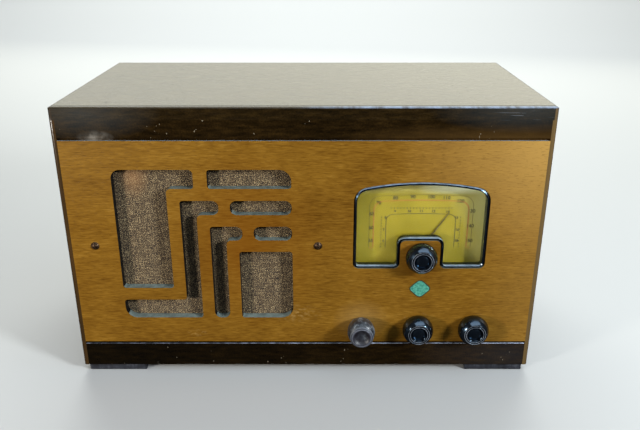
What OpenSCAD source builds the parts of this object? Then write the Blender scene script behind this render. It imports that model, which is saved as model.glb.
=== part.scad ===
// Table-top valve radio in a wooden cabinet, with a fretwork speaker grille,
// a small dial whose tuning knob and pointer share one axis, and three controls below.
// Millimetres, +Z up, front towards -Y, origin under the middle of the bounding box.

/* [Cabinet] */
// Width over the side panels
cabinet_w = 470; // [460:1:520]
// Height from the lower edge of the side panels to the top
cabinet_h = 277; // [270:1:320]
// Depth from the front face to the rear edge
cabinet_d = 246; // [240:1:300]
// Thickness of each side panel
side_t = 12; // [10:0.5:14]
// Thickness of the top panel
top_t = 12; // [10:0.5:15]
// Thickness of the bottom panel
bottom_t = 12; // [9:0.5:14]
// Width of the lip that the side panels show at the front
lip_w = 5; // [4:0.5:7]
// Radius of the upright outer arrises
arris_r = 3; // [1:0.5:4]
// Radius of the arris round the top
top_arris_r = 2; // [1:0.5:3]
// Size of the triangular glue blocks and the square rear battens
block_size = 14; // [10:1:16]

/* [Feet] */
// Height of the feet
foot_h = 8.5; // [5:0.5:15]
// Width of each foot
foot_w = 60; // [40:1:80]
// Depth of each foot
foot_d = 40; // [25:1:60]
// Distance from the cabinet's side to a foot
foot_inset = 5; // [2:0.5:12]
// Distance from the front face, or the rear edge, to a foot
foot_setback = 3; // [1:0.5:12]
// Chamfer on the lower edges of a foot
foot_chamfer = 1; // [0.5:0.5:2]

/* [Front] */
// Thickness of the front panel and both rails
front_t = 9; // [8:0.5:12]
// Height of the dark band above the light panel, with the edge of the top
top_band_h = 29.3; // [24:0.1:36]
// Height of the dark band below the light panel
bottom_band_h = 26.1; // [20:0.1:27]
// Width of the grooves beside the bands
groove_w = 2.5; // [1.5:0.1:4]
// Depth of those grooves
groove_depth = 2.5; // [1.5:0.1:4]

/* [Grille] */
// Distance from the cabinet's left side to the middle of the grille and the speaker
grille_inset = 137; // [133:1:139]
// Height of the grille's centre and the speaker's
grille_z = 137; // [134:1:142]
// Width of the group of openings
grille_w = 172; // [168:1:176]
// Height of the group of openings
grille_h = 160; // [156:1:164]
// Width of the large opening at the left
wide_opening_w = 51.4; // [48:0.2:54]
// Width of the two narrow upright slots
slot_w = 15.6; // [13:0.2:17]
// Height of the top row of openings
top_row_h = 19.2; // [16:0.2:22]
// Height of the second and third rows
bar_h = 14.8; // [12:0.2:16]
// Height of the foot of the second opening
foot_row_h = 21; // [18:0.2:24]
// Width of the wooden ribs
rib_w = 12.2; // [10:0.2:14]
// Width of the rib below the large opening and of the one beside its arm
wide_rib_w = 13.3; // [11:0.1:15]
// Reach of the second opening's arm past its slot
second_arm = 21.8; // [16:0.2:26]
// Reach of the third opening's arm past its slot
third_arm = 16.2; // [13:0.2:20]
// Width of the rib between an arm and the bar that follows it
arm_gap = 11; // [9:0.5:14]
// Radius of the two rounded lower corners and the upper right one
grille_corner_r = 12; // [6:0.5:16]
// Radius of the upper left corner
upper_corner_r = 9; // [4:0.5:14]
// Radius of the ends of bars and arms
bar_end_r = 6.6; // [4:0.1:6.8]
// Radius of the small corners
small_r = 3; // [1:0.5:4]
// Radius of the fillets inside the bends
bend_r = 4.5; // [2:0.5:6]

/* [Dial] */
// Distance from the cabinet's right side to the dial's axis
dial_inset = 119.5; // [117:0.5:123]
// Height of the dial's axis
dial_z = 127.5; // [126:0.5:130]
// Width of the dial window
window_w = 132; // [126:1:136]
// Depth of the window below the axis
window_below = 14.3; // [12:0.1:16]
// Height of the window above the axis, at its middle
window_above = 77.1; // [72:0.1:80]
// Radius of the window's arched top
window_top_r = 272; // [200:1:400]
// Radius of the window's upper corners
window_upper_r = 15; // [10:0.5:20]
// Radius of the window's lower corners
window_lower_r = 6; // [4:0.5:9]
// Width of the wooden tongue that carries the tuning knob
tongue_w = 40; // [38:0.5:44]
// Height of the tongue above the axis
tongue_above = 16; // [15.5:0.1:20]
// Radius of the tongue's corners
tongue_r = 5; // [3:0.5:8]
// Width of the rounded escutcheon
rim_w = 3.2; // [2:0.1:4]
// Height of the escutcheon in front of the panel
rim_proud = 0.5; // [0.2:0.1:1]
// Angle of the pointer from upright, clockwise from the front
pointer_angle = 33.5; // [-90:0.5:90]
// Length of the pointer from the axis to its tip
pointer_length = 50; // [40:0.5:56]
// Diameter of a dial lamp's bulb
lamp_d = 11; // [9:0.5:14]

/* [Dial drive] */
// Diameter of the spindles in the knobs
spindle_d = 6; // [5.5:0.05:6.35]
// Diameter of the neck that the balls roll on
neck_d = 3.2; // [3:0.1:3.6]
// Diameter of the three balls
ball_d = 6.4; // [6:0.1:6.8]
// Outer diameter of the ball cage
cage_d = 12.6; // [12:0.1:13]
// Outer diameter of the drive housing
housing_d = 26; // [22:0.5:30]
// Outer diameter of the sleeve that carries the pointer
sleeve_d = 9; // [8.5:0.1:10]

/* [Tuning capacitor] */
// Radius of the rotor plates
rotor_r = 25; // [20:0.5:28]
// Number of rotor plates in each of the two gangs
rotor_plates = 8; // [4:1:9]
// Distance from one rotor plate to the next
plate_pitch = 2.4; // [2.2:0.1:2.6]
// Thickness of rotor and stator plates
plate_t = 0.6; // [0.4:0.1:0.8]

/* [Knobs] */
// Diameter of the three black knobs
knob_d = 30; // [26:0.5:34]
// Height of the three black knobs
knob_h = 16.5; // [14:0.5:20]
// Diameter of the raised ring round a black knob's face
face_ring_d = 22.3; // [20:0.1:24]
// Diameter of the ring inside it
inner_ring_d = 17.6; // [16:0.1:18.5]
// Diameter of the odd knob at the left
odd_knob_d = 26; // [23:0.5:30]
// Height of the odd knob at the left
odd_knob_h = 21.6; // [18:0.1:25]
// Diameter of the odd knob where it meets the panel
odd_base_d = 24; // [22:0.5:25.5]
// Diameter of the odd knob's waist, behind its rim
odd_waist_d = 19.4; // [18:0.2:20.4]
// Diameter of the odd knob's rolled rim
odd_rim_d = 21.8; // [21:0.2:23]
// Diameter of the bowl in the odd knob's face
odd_bowl_d = 13; // [11:0.5:14]
// Gap between the front panel and a knob
knob_gap = 1; // [0.5:0.1:2]
// Height of the row of three controls
control_z = 46; // [42:0.5:48]
// Distance from the cabinet's right side to the left control
volume_inset = 177.5; // [173:0.5:181]
// Distance from the cabinet's right side to the middle control
tone_inset = 119; // [115:0.5:125]
// Distance from the cabinet's right side to the right control
band_inset = 62; // [57:0.5:69]

/* [Speaker] */
// Thickness of the grille cloth
cloth_t = 0.8; // [0.5:0.1:1.2]
// Reach of the cloth round the group of openings
cloth_margin = 7; // [5:1:9]
// Gap between the baffle board and the left side panel
baffle_gap = 3; // [2:0.5:6]
// Reach of the baffle board above and below the group of openings
baffle_margin = 16; // [14:1:20]
// Thickness of the baffle board
baffle_t = 8; // [6:0.5:10]
// Distance of the right baffle screw to the left of its stile's middle
screw_shift = 4.8; // [0:0.1:6]
// Diameter of the hole in the baffle board
speaker_hole_d = 148; // [140:1:150]
// Diameter of the speaker frame
speaker_d = 168; // [160:1:172]
// Depth of the speaker frame's basket
basket_depth = 36; // [34:0.5:42]
// Diameter of the magnet pot
magnet_d = 70; // [66:1:76]
// Length of the magnet pot
magnet_l = 44; // [36:1:52]
// Radius of the voice coil's former
former_r = 12.7; // [11:0.1:14]

/* [Chassis] */
// Gap between the chassis and each side panel
chassis_gap = 23; // [20:1:26]
// Gap between the chassis and the back cover
chassis_back_gap = 25; // [20:1:30]
// Height of the chassis top above the axes of the three controls
chassis_over = 21; // [20:0.5:24]
// Thickness of the chassis steel
chassis_t = 1.5; // [1:0.1:2]
// Distance from the cabinet's front face to the chassis
chassis_y = 45; // [40:0.5:48]
// Diameter of the two small valves
small_tube_d = 39; // [36:0.5:42]
// Height of the two small valves above their bases
small_tube_h = 78; // [70:1:90]
// Diameter of the two large valves
large_tube_d = 46; // [42:0.5:50]
// Height of the two large valves above their bases
large_tube_h = 92; // [84:1:104]
// Thickness of the valve glass
glass_t = 1; // [0.6:0.1:1.4]

/* [Back] */
// Thickness of the back cover
back_t = 4; // [3:0.5:5]
// Depth of the rebate that holds the back cover
back_rebate = 6; // [5:0.5:8]
// Overlap of the back cover on the panels
back_lap = 5; // [4:0.5:6]
// Length of a vent slot
vent_l = 46; // [30:1:56]
// Height of a vent slot
vent_h = 6; // [4:0.5:8]
// Bore of the mains cord grommet
cord_bore_d = 7.5; // [6:0.5:9]

/* [Hidden] */

$fn = 64;
eps = 0.5;
fuse = 0.01;
running = 0.05;
slack = 0.15;
shaft_slack = 1.5;

lacquer = [0.13, 0.09, 0.06];
veneer = [0.62, 0.43, 0.18];
raw_wood = [0.66, 0.52, 0.34];
steel = [0.62, 0.63, 0.64];
bakelite = [0.06, 0.06, 0.07];
brass = [0.78, 0.62, 0.3];
paper = [0.24, 0.22, 0.2];
clear_glass = [0.8, 0.9, 0.92, 0.35];

knob_reach = knob_gap + max(knob_h, odd_knob_h);
cabinet_y = (knob_reach - cabinet_d) / 2;
inner_x = cabinet_w / 2 - side_t;
front_x = cabinet_w / 2 - lip_w;
grille_x = grille_inset - cabinet_w / 2;
dial_x = cabinet_w / 2 - dial_inset;
volume_x = cabinet_w / 2 - volume_inset;
tone_x = cabinet_w / 2 - tone_inset;
band_x = cabinet_w / 2 - band_inset;
rail_z = cabinet_h - top_band_h;
panel_z0 = bottom_band_h + groove_w;
panel_z1 = rail_z - groove_w;
rear_y = cabinet_d - back_rebate;
ceiling_z = cabinet_h - top_t;
block_l = 50;
block_setback = 40;

grille_left = grille_x - grille_w / 2;
grille_right = grille_x + grille_w / 2;
grille_low = grille_z - grille_h / 2;
grille_high = grille_z + grille_h / 2;
second_x0 = grille_left + wide_opening_w + rib_w;
second_x1 = second_x0 + slot_w;
third_x0 = second_x1 + rib_w;
third_x1 = third_x0 + slot_w;
fourth_x0 = third_x1 + rib_w;
row_1 = grille_high - top_row_h;
row_2 = row_1 - rib_w;
row_3 = row_2 - bar_h - rib_w;
row_4 = row_3 - bar_h - rib_w;
foot_top = grille_low + foot_row_h;

window_shift = 1.5;
tongue_shift = 0.7;
window_mid = dial_x - window_shift;
window_x0 = window_mid - window_w / 2;
window_x1 = window_mid + window_w / 2;
window_z0 = dial_z - window_below;
window_top = dial_z + window_above;
tongue_x0 = dial_x - tongue_shift - tongue_w / 2;
tongue_x1 = tongue_x0 + tongue_w;
tongue_z = dial_z + tongue_above;
pane_margin = 5;
glass_pane_t = 1.5;
glass_y = front_t + slack;
pointer_gap = 0.8;
pointer_y = glass_y + glass_pane_t + pointer_gap;
pointer_t = 0.6;
pointer_w = 2.8;
pointer_tip_w = 0.7;
pointer_tail_l = 12;
sleeve_y = pointer_y - pointer_gap / 2;
plate_y = pointer_y + pointer_t + 1.5 * pointer_gap;
dial_plate_t = 0.8;
bracket_y = plate_y + dial_plate_t;
bracket_t = 1.2;
bracket_w = 116;
bracket_foot_l = 16;
bracket_foot_w = 12;
gusset_h = 8;
lamp_offset = 38;
lamp_z = dial_z + 42;
lamp_ring_t = 1;
lamp_holder_l = 10;
lamp_socket_l = 14;
lamp_flange_w = 2.5;

housing_y = bracket_y + bracket_t;
housing_l = 14;
housing_lug = 8;
housing_lug_w = 12;
housing_lug_t = 2;
housing_screw_d = 3.2;
ball_y = housing_y + housing_l / 2;
ball_orbit_r = (neck_d + ball_d) / 2;
hub_end_y = housing_y + housing_l + 12;
spindle_end_y = ball_y + ball_d / 2 + 1.5;
shaft_gap = 0.5;
shaft_socket_y = spindle_end_y + 2;

capacitor_y = hub_end_y + 4;
gang_l = plate_pitch * (rotor_plates + 1);
gang_gap = 5;
end_t = 2;
end_foot_l = 10;
capacitor_l = 2 * gang_l + 3 * gang_gap + 2 * end_t;
capacitor_w = 2 * rotor_r + 12;
spacer_r = 5;
plate_gap = 1.5;
stator_inset = 3;
stator_reach = 4;
stator_rod_d = 3;
insulator_w = 8;
insulator_h = 8;
stator_z = dial_z - rotor_r - stator_reach;
capacitor_floor_z = stator_z - insulator_h - end_t;
rotor_angle = pointer_angle + 90;

chassis_w = 2 * (inner_x - chassis_gap);
chassis_d = rear_y - chassis_back_gap - chassis_y;
chassis_z = bottom_t;
chassis_top = control_z + chassis_over;
chassis_h = chassis_top - chassis_z;
apron_y = chassis_y + chassis_t;
bush_d = 9;
bush_l = 7;
nut_d = 14;
nut_t = 2.5;
control_d = 28;
control_l = 12;
mains_switch_d = 24;
index_d = 32;
index_l = 10;
wafer_d = 34;
wafer_t = 2;
wafer_pitch = 15;
wafer_rod_r = 13;
wafer_rod_l = 44;
wafer_rod_d = 3;
shaft_tip_y = -knob_gap - 10.5;
shaft_depth = 8;

cloth_gap = 0.15;
cloth_y = front_t + cloth_gap;
cloth_w = grille_w + 2 * cloth_margin;
cloth_h = grille_h + 2 * cloth_margin;
baffle_y = cloth_y + cloth_t + cloth_gap;
baffle_x0 = baffle_gap - inner_x;
baffle_x1 = window_x0 - pane_margin - 2;
baffle_h = grille_h + 2 * baffle_margin;
screw_z = grille_z + 1;
screw_d = 4;
screw_places = [(grille_left - front_x) / 2, (grille_right + window_x0) / 2 - screw_shift];
speaker_y = baffle_y + baffle_t;
gasket_t = 1;
frame_t = 1.5;
flange_w = 9;
basket_r = speaker_d / 2 - flange_w;
basket_step = 6;
basket_y = speaker_y + gasket_t + frame_t;
basket_end_r = magnet_d / 2 + 2;
basket_window_w = 34;
magnet_y = basket_y + basket_depth;
former_t = 0.4;
former_l = 18;
winding_t = 0.6;
winding_l = 7;
coil_clearance = 0.5;
coil_gap_depth = 16;
edge_w = 9;
cone_r = basket_r - edge_w;
cone_t = 0.8;
edge_t = 0.6;
neck_y = magnet_y - 8;
cap_r = 14.6;
cap_t = 0.7;
spider_r = 31;
spider_t = 0.6;

base_h = 24;
base_r = 16.5;
pin_l = 10;
pin_d = 3;
pin_orbit_r = 9;
socket_t = 4;
socket_r = 20;
socket_below = 6;
socket_below_r = 12.5;
tube_z = chassis_top + socket_t + base_h;
small_tube_at = [on_chassis(-0.03, 0.394), on_chassis(-0.1875, 0.647)];
large_tube_at = [on_chassis(-0.3375, 0.706), on_chassis(0.2125, 0.7235)];
coil_can_at = [on_chassis(0.09, 0.253), on_chassis(-0.05, 0.782)];
coil_can_size = [24, 72];
electrolytic_at = on_chassis(0.095, 0.8235);
electrolytic_size = [17, 84];
transformer_at = on_chassis(0.4, 0.735);
transformer_size = [74, 76, 72];
output_transformer_at = on_chassis(-0.4375, 0.235);
output_transformer_size = [46, 42, 40];
bolt_d = 4;
bolt_head_d = 8;
bolt_head_h = 2;
bolt_l = bottom_t + 8;
bolt_pad_w = 26;
bolt_x = cabinet_w / 2 - foot_inset - foot_w - bolt_head_d;
bolt_inset = 14;
terminal_x = 50 - chassis_w / 2;
terminal_z = chassis_z + 30;
terminal_w = 52;
terminal_h = 20;
terminal_t = 3;
post_spacing = 28;
post_l = 12;
post_d = 4;
post_nut_d = 10;
post_nut_l = 5;
cord_x = chassis_w / 2 - 50;
cord_z = chassis_z + 22;
grommet_neck_d = cord_bore_d + 4;
grommet_flange_d = cord_bore_d + 9;
grommet_flange_t = 2;
back_screw_d = 3;
back_screw_l = 10;
back_screw_inset = 30;
vent_rows = 6;
vent_columns = 3;
vent_gap = 50;
vent_pitch = 2.4 * vent_h;
vent_drop = 40;
low_vent_rise = 10;
cutout_margin = 9;

// A place on the chassis, from shares of its width and depth.
function on_chassis(u, v) = [u * chassis_w, chassis_y + v * chassis_d];

// Puts a piece drawn from the cabinet's front lower edge into the shared frame.
module in_cabinet() {
    translate([0, cabinet_y, foot_h])
        children();
}

// Stands a flat outline upright, from y to y + t.
module upright(y, t) {
    translate([0, y + t, 0])
        rotate([90, 0, 0])
            linear_extrude(t)
                children();
}

// Runs a flat outline in Y and Z along X, from x to x + l.
module along_x(x, l) {
    translate([x, 0, 0])
        rotate([90, 0, 90])
            linear_extrude(l)
                children();
}

// A straight rod or hole along Y.
module rod(x, z, y0, y1, d) {
    translate([x, y0, z])
        rotate([-90, 0, 0])
            cylinder(h = y1 - y0, d = d);
}

// Turns an outline of radius and depth about the line through x and z along Y.
module turned(x, z, y) {
    translate([x, y, z])
        rotate([-90, 0, 0])
            rotate_extrude()
                children();
}

// What a rounded corner of radius r takes away, with the corner at the origin.
module corner_cut(r) {
    difference() {
        translate([-eps, -eps])
            square(r + eps);
        translate([r, r])
            circle(r);
    }
}

// A rectangle with its own radius at each corner: upper left, upper right, lower right, lower left.
module rounded(x0, x1, z0, z1, r) {
    difference() {
        translate([x0, z0])
            square([x1 - x0, z1 - z0]);
        translate([x0, z1])
            mirror([0, 1])
                corner_cut(r[0]);
        translate([x1, z1])
            rotate(180)
                corner_cut(r[1]);
        translate([x1, z0])
            mirror([1, 0])
                corner_cut(r[2]);
        translate([x0, z0])
            corner_cut(r[3]);
    }
}

// The fillet in the bend of an opening, below and to one side of its inner corner.
module bend_fillet(x, z, r, side, up) {
    translate([x, z])
        scale([side, up])
            difference() {
                translate([-eps, -eps])
                    square(r + eps);
                translate([r, r])
                    circle(r);
            }
}

function arc(c, r, a0, a1, n) =
    [for (i = [0:n]) let (a = a0 + (a1 - a0) * i / n) [c[0] + r * cos(a), c[1] + r * sin(a)]];

// The dial window's outline, drawn in by g, anticlockwise from its lower left corner.
function window_outline(g) =
    let (
        low = window_z0 + window_lower_r,
        top_c = [window_mid, window_top - window_top_r],
        side_x = window_w / 2 - window_upper_r,
        swing = window_top_r - window_upper_r,
        high = top_c[1] + sqrt(swing * swing - side_x * side_x),
        lean = atan2(high - top_c[1], side_x),
        lower_r = window_lower_r - g,
        upper_r = window_upper_r - g,
        n = 8
    )
    concat(
        arc([window_x0 + window_lower_r, low], lower_r, 180, 270, n),
        arc([tongue_x0 - window_lower_r, low], lower_r, 270, 360, n),
        arc([tongue_x0 + tongue_r, tongue_z - tongue_r], tongue_r + g, 180, 90, n),
        arc([tongue_x1 - tongue_r, tongue_z - tongue_r], tongue_r + g, 90, 0, n),
        arc([tongue_x1 + window_lower_r, low], lower_r, 180, 270, n),
        arc([window_x1 - window_lower_r, low], lower_r, 270, 360, n),
        arc([window_x1 - window_upper_r, high], upper_r, 0, lean, n),
        arc(top_c, window_top_r - g, lean + 1, 179 - lean, 2 * n),
        arc([window_x0 + window_upper_r, high], upper_r, 180 - lean, 180, n)
    );

// A ring whose section is a list of [inset, y], run round the dial window.
module window_ring(section) {
    rings = [for (s = section) [for (p = window_outline(s[0])) [p[0], s[1], p[1]]]];
    n = len(rings[0]);
    m = len(rings);
    polyhedron(
        points = [for (ring = rings) for (p = ring) p],
        faces = [
            for (j = [0:m - 1])
                for (i = [0:n - 1])
                    let (k = (j + 1) % m, q = (i + 1) % n)
                        each [[j * n + i, k * n + q, j * n + q], [j * n + i, k * n + i, k * n + q]]
        ],
        convexity = 8
    );
}

module side_plan() {
    difference() {
        translate([-cabinet_w / 2, 0])
            square([side_t, cabinet_d]);
        translate([-front_x, -eps])
            square([side_t, front_t + eps]);
        translate([-inner_x - back_lap, rear_y])
            square([side_t, back_rebate + eps]);
        translate([-cabinet_w / 2, 0])
            corner_cut(arris_r);
    }
}

module side_panel() {
    linear_extrude(ceiling_z)
        side_plan();
}

module side_panel_left() {
    color(lacquer)
        in_cabinet()
            side_panel();
}

module side_panel_right() {
    color(lacquer)
        in_cabinet()
            mirror([1, 0, 0])
                side_panel();
}

module top_panel() {
    color(lacquer)
        in_cabinet()
            difference() {
                intersection() {
                    linear_extrude(cabinet_h)
                        rounded(-cabinet_w / 2, cabinet_w / 2, 0, cabinet_d, [fuse, fuse, arris_r, arris_r]);
                    upright(0, cabinet_d)
                        rounded(
                            -cabinet_w / 2, cabinet_w / 2, ceiling_z, cabinet_h,
                            [top_arris_r, top_arris_r, fuse, fuse]
                        );
                    along_x(-cabinet_w / 2, cabinet_w)
                        rounded(0, cabinet_d, ceiling_z, cabinet_h, [top_arris_r, top_arris_r, fuse, fuse]);
                }
                translate([-inner_x - back_lap, rear_y, ceiling_z - eps])
                    cube([2 * (inner_x + back_lap), back_rebate + eps, back_lap + eps]);
            }
}

module bottom_panel() {
    color(raw_wood)
        in_cabinet()
            difference() {
                translate([-inner_x, front_t, 0])
                    cube([2 * inner_x, rear_y - front_t, bottom_t]);
                for (p = bolt_places())
                    translate([p[0], p[1], -eps])
                        cylinder(h = bottom_t + 2 * eps, d = bolt_d + 2 * slack);
            }
}

module top_rail() {
    color(lacquer)
        in_cabinet()
            along_x(-front_x, 2 * front_x)
                difference() {
                    translate([0, panel_z1])
                        square([front_t, ceiling_z - panel_z1]);
                    translate([-eps, panel_z1 - eps])
                        square([groove_depth + eps, groove_w + eps]);
                }
}

module bottom_rail() {
    color(lacquer)
        in_cabinet()
            along_x(-front_x, 2 * front_x)
                difference() {
                    square([front_t, panel_z0]);
                    translate([-eps, bottom_band_h])
                        square([groove_depth + eps, groove_w + eps]);
                }
}

// The seven openings of the grille, from the left.
module grille_openings() {
    arm_end = third_x0 - wide_rib_w;
    second_end = second_x1 + second_arm;
    third_end = third_x1 + third_arm;
    wide_x1 = grille_left + wide_opening_w;
    wide_low = foot_top + wide_rib_w;
    rounded(grille_left, wide_x1, wide_low, grille_high, [upper_corner_r, small_r, small_r, small_r]);
    rounded(wide_x1 - rib_w, arm_end, row_1, grille_high, [small_r, bend_r, small_r, small_r]);
    bend_fillet(wide_x1, row_1, bend_r, 1, -1);

    rounded(second_x0, second_x1, grille_low, row_2, [small_r, small_r, small_r, small_r]);
    rounded(second_x0, second_end, row_2 - bar_h, row_2, [small_r, bar_end_r, bar_end_r, small_r]);
    bend_fillet(second_x1, row_2 - bar_h, bend_r, 1, -1);
    rounded(grille_left, second_x1, grille_low, foot_top, [small_r, small_r, small_r, grille_corner_r]);
    bend_fillet(second_x0, foot_top, small_r, -1, 1);

    rounded(third_x0, third_x1, grille_low, row_3, [small_r, small_r, bar_end_r, bar_end_r]);
    rounded(third_x0, third_end, row_3 - bar_h, row_3, [small_r, bar_end_r, bar_end_r, small_r]);
    bend_fillet(third_x1, row_3 - bar_h, bend_r, 1, -1);

    rounded(third_x0, grille_right, row_1, grille_high, [small_r, grille_corner_r, small_r, small_r]);
    rounded(
        second_end + arm_gap, grille_right, row_2 - bar_h, row_2,
        [bar_end_r, bar_end_r, bar_end_r, bar_end_r]
    );
    rounded(
        third_end + arm_gap, grille_right, row_3 - bar_h, row_3,
        [bar_end_r, bar_end_r, bar_end_r, bar_end_r]
    );
    rounded(fourth_x0, grille_right, grille_low, row_4, [small_r, small_r, grille_corner_r, small_r]);
}

module front_panel() {
    color(veneer)
        in_cabinet()
            difference() {
                upright(0, front_t)
                    difference() {
                        translate([-front_x, panel_z0])
                            square([2 * front_x, panel_z1 - panel_z0]);
                        grille_openings();
                        polygon(window_outline(0));
                    }
                for (x = screw_places)
                    rod(x, screw_z, -eps, front_t + eps, screw_d + 2 * slack);
                for (x = [volume_x, tone_x, band_x])
                    rod(x, control_z, -eps, front_t + eps, spindle_d + 2 * shaft_slack);
                rod(dial_x, dial_z, -eps, front_t + eps, spindle_d + 2 * shaft_slack);
            }
}

function bolt_places() =
    [for (x = [-bolt_x, bolt_x]) for (y = [bolt_inset, chassis_d - bolt_inset]) [x, chassis_y + y]];

module glue_blocks() {
    color(raw_wood)
        in_cabinet()
            difference() {
                for (s = [0, 1])
                    mirror([s, 0, 0]) {
                        for (y = [block_setback, rear_y - block_size - block_setback - block_l]) {
                            upright(y, block_l)
                                polygon([
                                    [-inner_x, ceiling_z], [-inner_x + block_size, ceiling_z],
                                    [-inner_x, ceiling_z - block_size]
                                ]);
                            upright(y, block_l)
                                polygon([
                                    [-inner_x, bottom_t], [-inner_x + block_size, bottom_t],
                                    [-inner_x, bottom_t + block_size]
                                ]);
                        }
                        translate([-inner_x, rear_y - block_size, bottom_t])
                            cube([block_size, block_size, ceiling_z - bottom_t]);
                    }
                for (p = back_screw_places())
                    rod(p[0], p[1], rear_y - back_screw_l, rear_y + eps, back_screw_d + 2 * running);
            }
}

module feet() {
    color(lacquer)
        in_cabinet()
            for (s = [0, 1])
                mirror([s, 0, 0])
                    for (y = [foot_setback, cabinet_d - foot_setback - foot_d])
                        foot(-cabinet_w / 2 + foot_inset, y);
}

module foot(x, y) {
    intersection() {
        upright(y, foot_d)
            foot_outline(x, foot_w);
        along_x(x, foot_w)
            foot_outline(y, foot_d);
    }
}

module foot_outline(a, w) {
    polygon([
        [a, 0], [a, foot_chamfer - foot_h], [a + foot_chamfer, -foot_h],
        [a + w - foot_chamfer, -foot_h], [a + w, foot_chamfer - foot_h], [a + w, 0]
    ]);
}

function back_screw_places() =
    let (low = bottom_t + back_screw_inset, high = ceiling_z - back_screw_inset)
    [for (s = [-1, 1]) for (z = [low, (low + high) / 2, high]) [s * (inner_x - block_size / 2), z]];

module back_cover() {
    half_w = inner_x + back_lap - slack;
    high = ceiling_z + back_lap - slack;
    color(paper)
        in_cabinet()
            difference() {
                upright(rear_y, back_t)
                    difference() {
                        translate([-half_w, 0])
                            square([2 * half_w, high]);
                        for (i = [0:vent_columns - 1]) {
                            x = (i - (vent_columns - 1) / 2) * (vent_l + vent_gap);
                            vent_slot(x, bottom_t + low_vent_rise);
                            for (j = [0:vent_rows - 1])
                                vent_slot(x, ceiling_z - vent_drop - j * vent_pitch);
                        }
                        translate([terminal_x, terminal_z])
                            terminal_outline(cutout_margin);
                    }
                rod(cord_x, cord_z, rear_y - eps, cabinet_d, grommet_neck_d);
                for (p = back_screw_places())
                    rod(p[0], p[1], rear_y - eps, cabinet_d, back_screw_d + 2 * slack);
            }
}

// The terminal strip's rounded outline, grown by g.
module terminal_outline(g) {
    w = terminal_w / 2 + g;
    h = terminal_h / 2 + g;
    rounded(-w, w, -h, h, [small_r, small_r, small_r, small_r]);
}

module vent_slot(x, z) {
    r = vent_h / 2 - fuse;
    rounded(x - vent_l / 2, x + vent_l / 2, z - vent_h / 2, z + vent_h / 2, [r, r, r, r]);
}

module back_screws() {
    color(steel)
        in_cabinet()
            for (p = back_screw_places())
                translate([p[0], rear_y + back_t, p[1]])
                    rotate([180, 0, 0])
                        round_head_screw(back_screw_d, back_screw_l - 1 + back_t);
}

// A round-headed screw, its head towards -Y, the seat under the head at the origin.
module round_head_screw(d, l) {
    head_r = d * 1.05;
    head_h = d * 0.6;
    dome_r = (head_r * head_r + head_h * head_h) / (2 * head_h);
    rotate([-90, 0, 0])
        rotate_extrude()
            union() {
                square([d / 2, l]);
                intersection() {
                    translate([0, -head_h])
                        square([head_r, head_h]);
                    translate([0, dome_r - head_h])
                        circle(dome_r);
                }
            }
}

module cord_grommet() {
    color(bakelite)
        in_cabinet()
            turned(cord_x, cord_z, rear_y - grommet_flange_t)
                difference() {
                    union() {
                        square([grommet_flange_d / 2, grommet_flange_t]);
                        square([grommet_neck_d / 2 - slack, back_t + 2 * grommet_flange_t]);
                        translate([0, back_t + grommet_flange_t])
                            square([grommet_flange_d / 2, grommet_flange_t]);
                    }
                    translate([0, -eps])
                        square([cord_bore_d / 2, back_t + 2 * grommet_flange_t + 2 * eps]);
                }
}

// Aerial and earth terminals on an insulating strip behind the chassis.
module terminal_strip() {
    rear = chassis_y + chassis_d;
    color(bakelite)
        in_cabinet() {
            translate([terminal_x, 0, terminal_z])
                upright(rear, terminal_t)
                    terminal_outline(0);
            for (s = [-1, 1])
                turned(terminal_x + s * post_spacing / 2, terminal_z, rear + terminal_t)
                    union() {
                        square([post_d / 2, post_l]);
                        translate([0, post_nut_l])
                            square([post_nut_d / 2, post_nut_l]);
                    }
        }
}

module dial_escutcheon() {
    quarter = [
        for (i = [0:5])
            let (a = 90 * i / 5)
                [rim_w - (rim_w - slack) * cos(a), rim_w - rim_proud - rim_w * sin(a)]
    ];
    color(bakelite)
        in_cabinet()
            window_ring(concat(
                [[rim_w, front_t]],
                [[slack, front_t]],
                [for (q = quarter) q],
                [[rim_w, rim_w]]
            ));
}

module dial_glass() {
    notch = sleeve_d / 2 + 2;
    color(clear_glass)
        in_cabinet()
            upright(glass_y, glass_pane_t)
                difference() {
                    translate([window_x0 - pane_margin, window_z0 - pane_margin])
                        square([window_w + 2 * pane_margin, window_top - window_z0 + 2 * pane_margin]);
                    translate([dial_x - notch, window_z0 - pane_margin - eps])
                        square([2 * notch, window_below + pane_margin + eps]);
                    translate([dial_x, dial_z])
                        circle(notch);
                }
}

module dial_plate() {
    color([0.82, 0.74, 0.36])
        in_cabinet()
            difference() {
                upright(plate_y, dial_plate_t)
                    translate([window_x0 - pane_margin, window_z0 - pane_margin])
                        square([window_w + 2 * pane_margin, window_top - window_z0 + 2 * pane_margin]);
                rod(dial_x, dial_z, plate_y - eps, plate_y + dial_plate_t + eps, sleeve_d + 1);
            }
}

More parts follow.
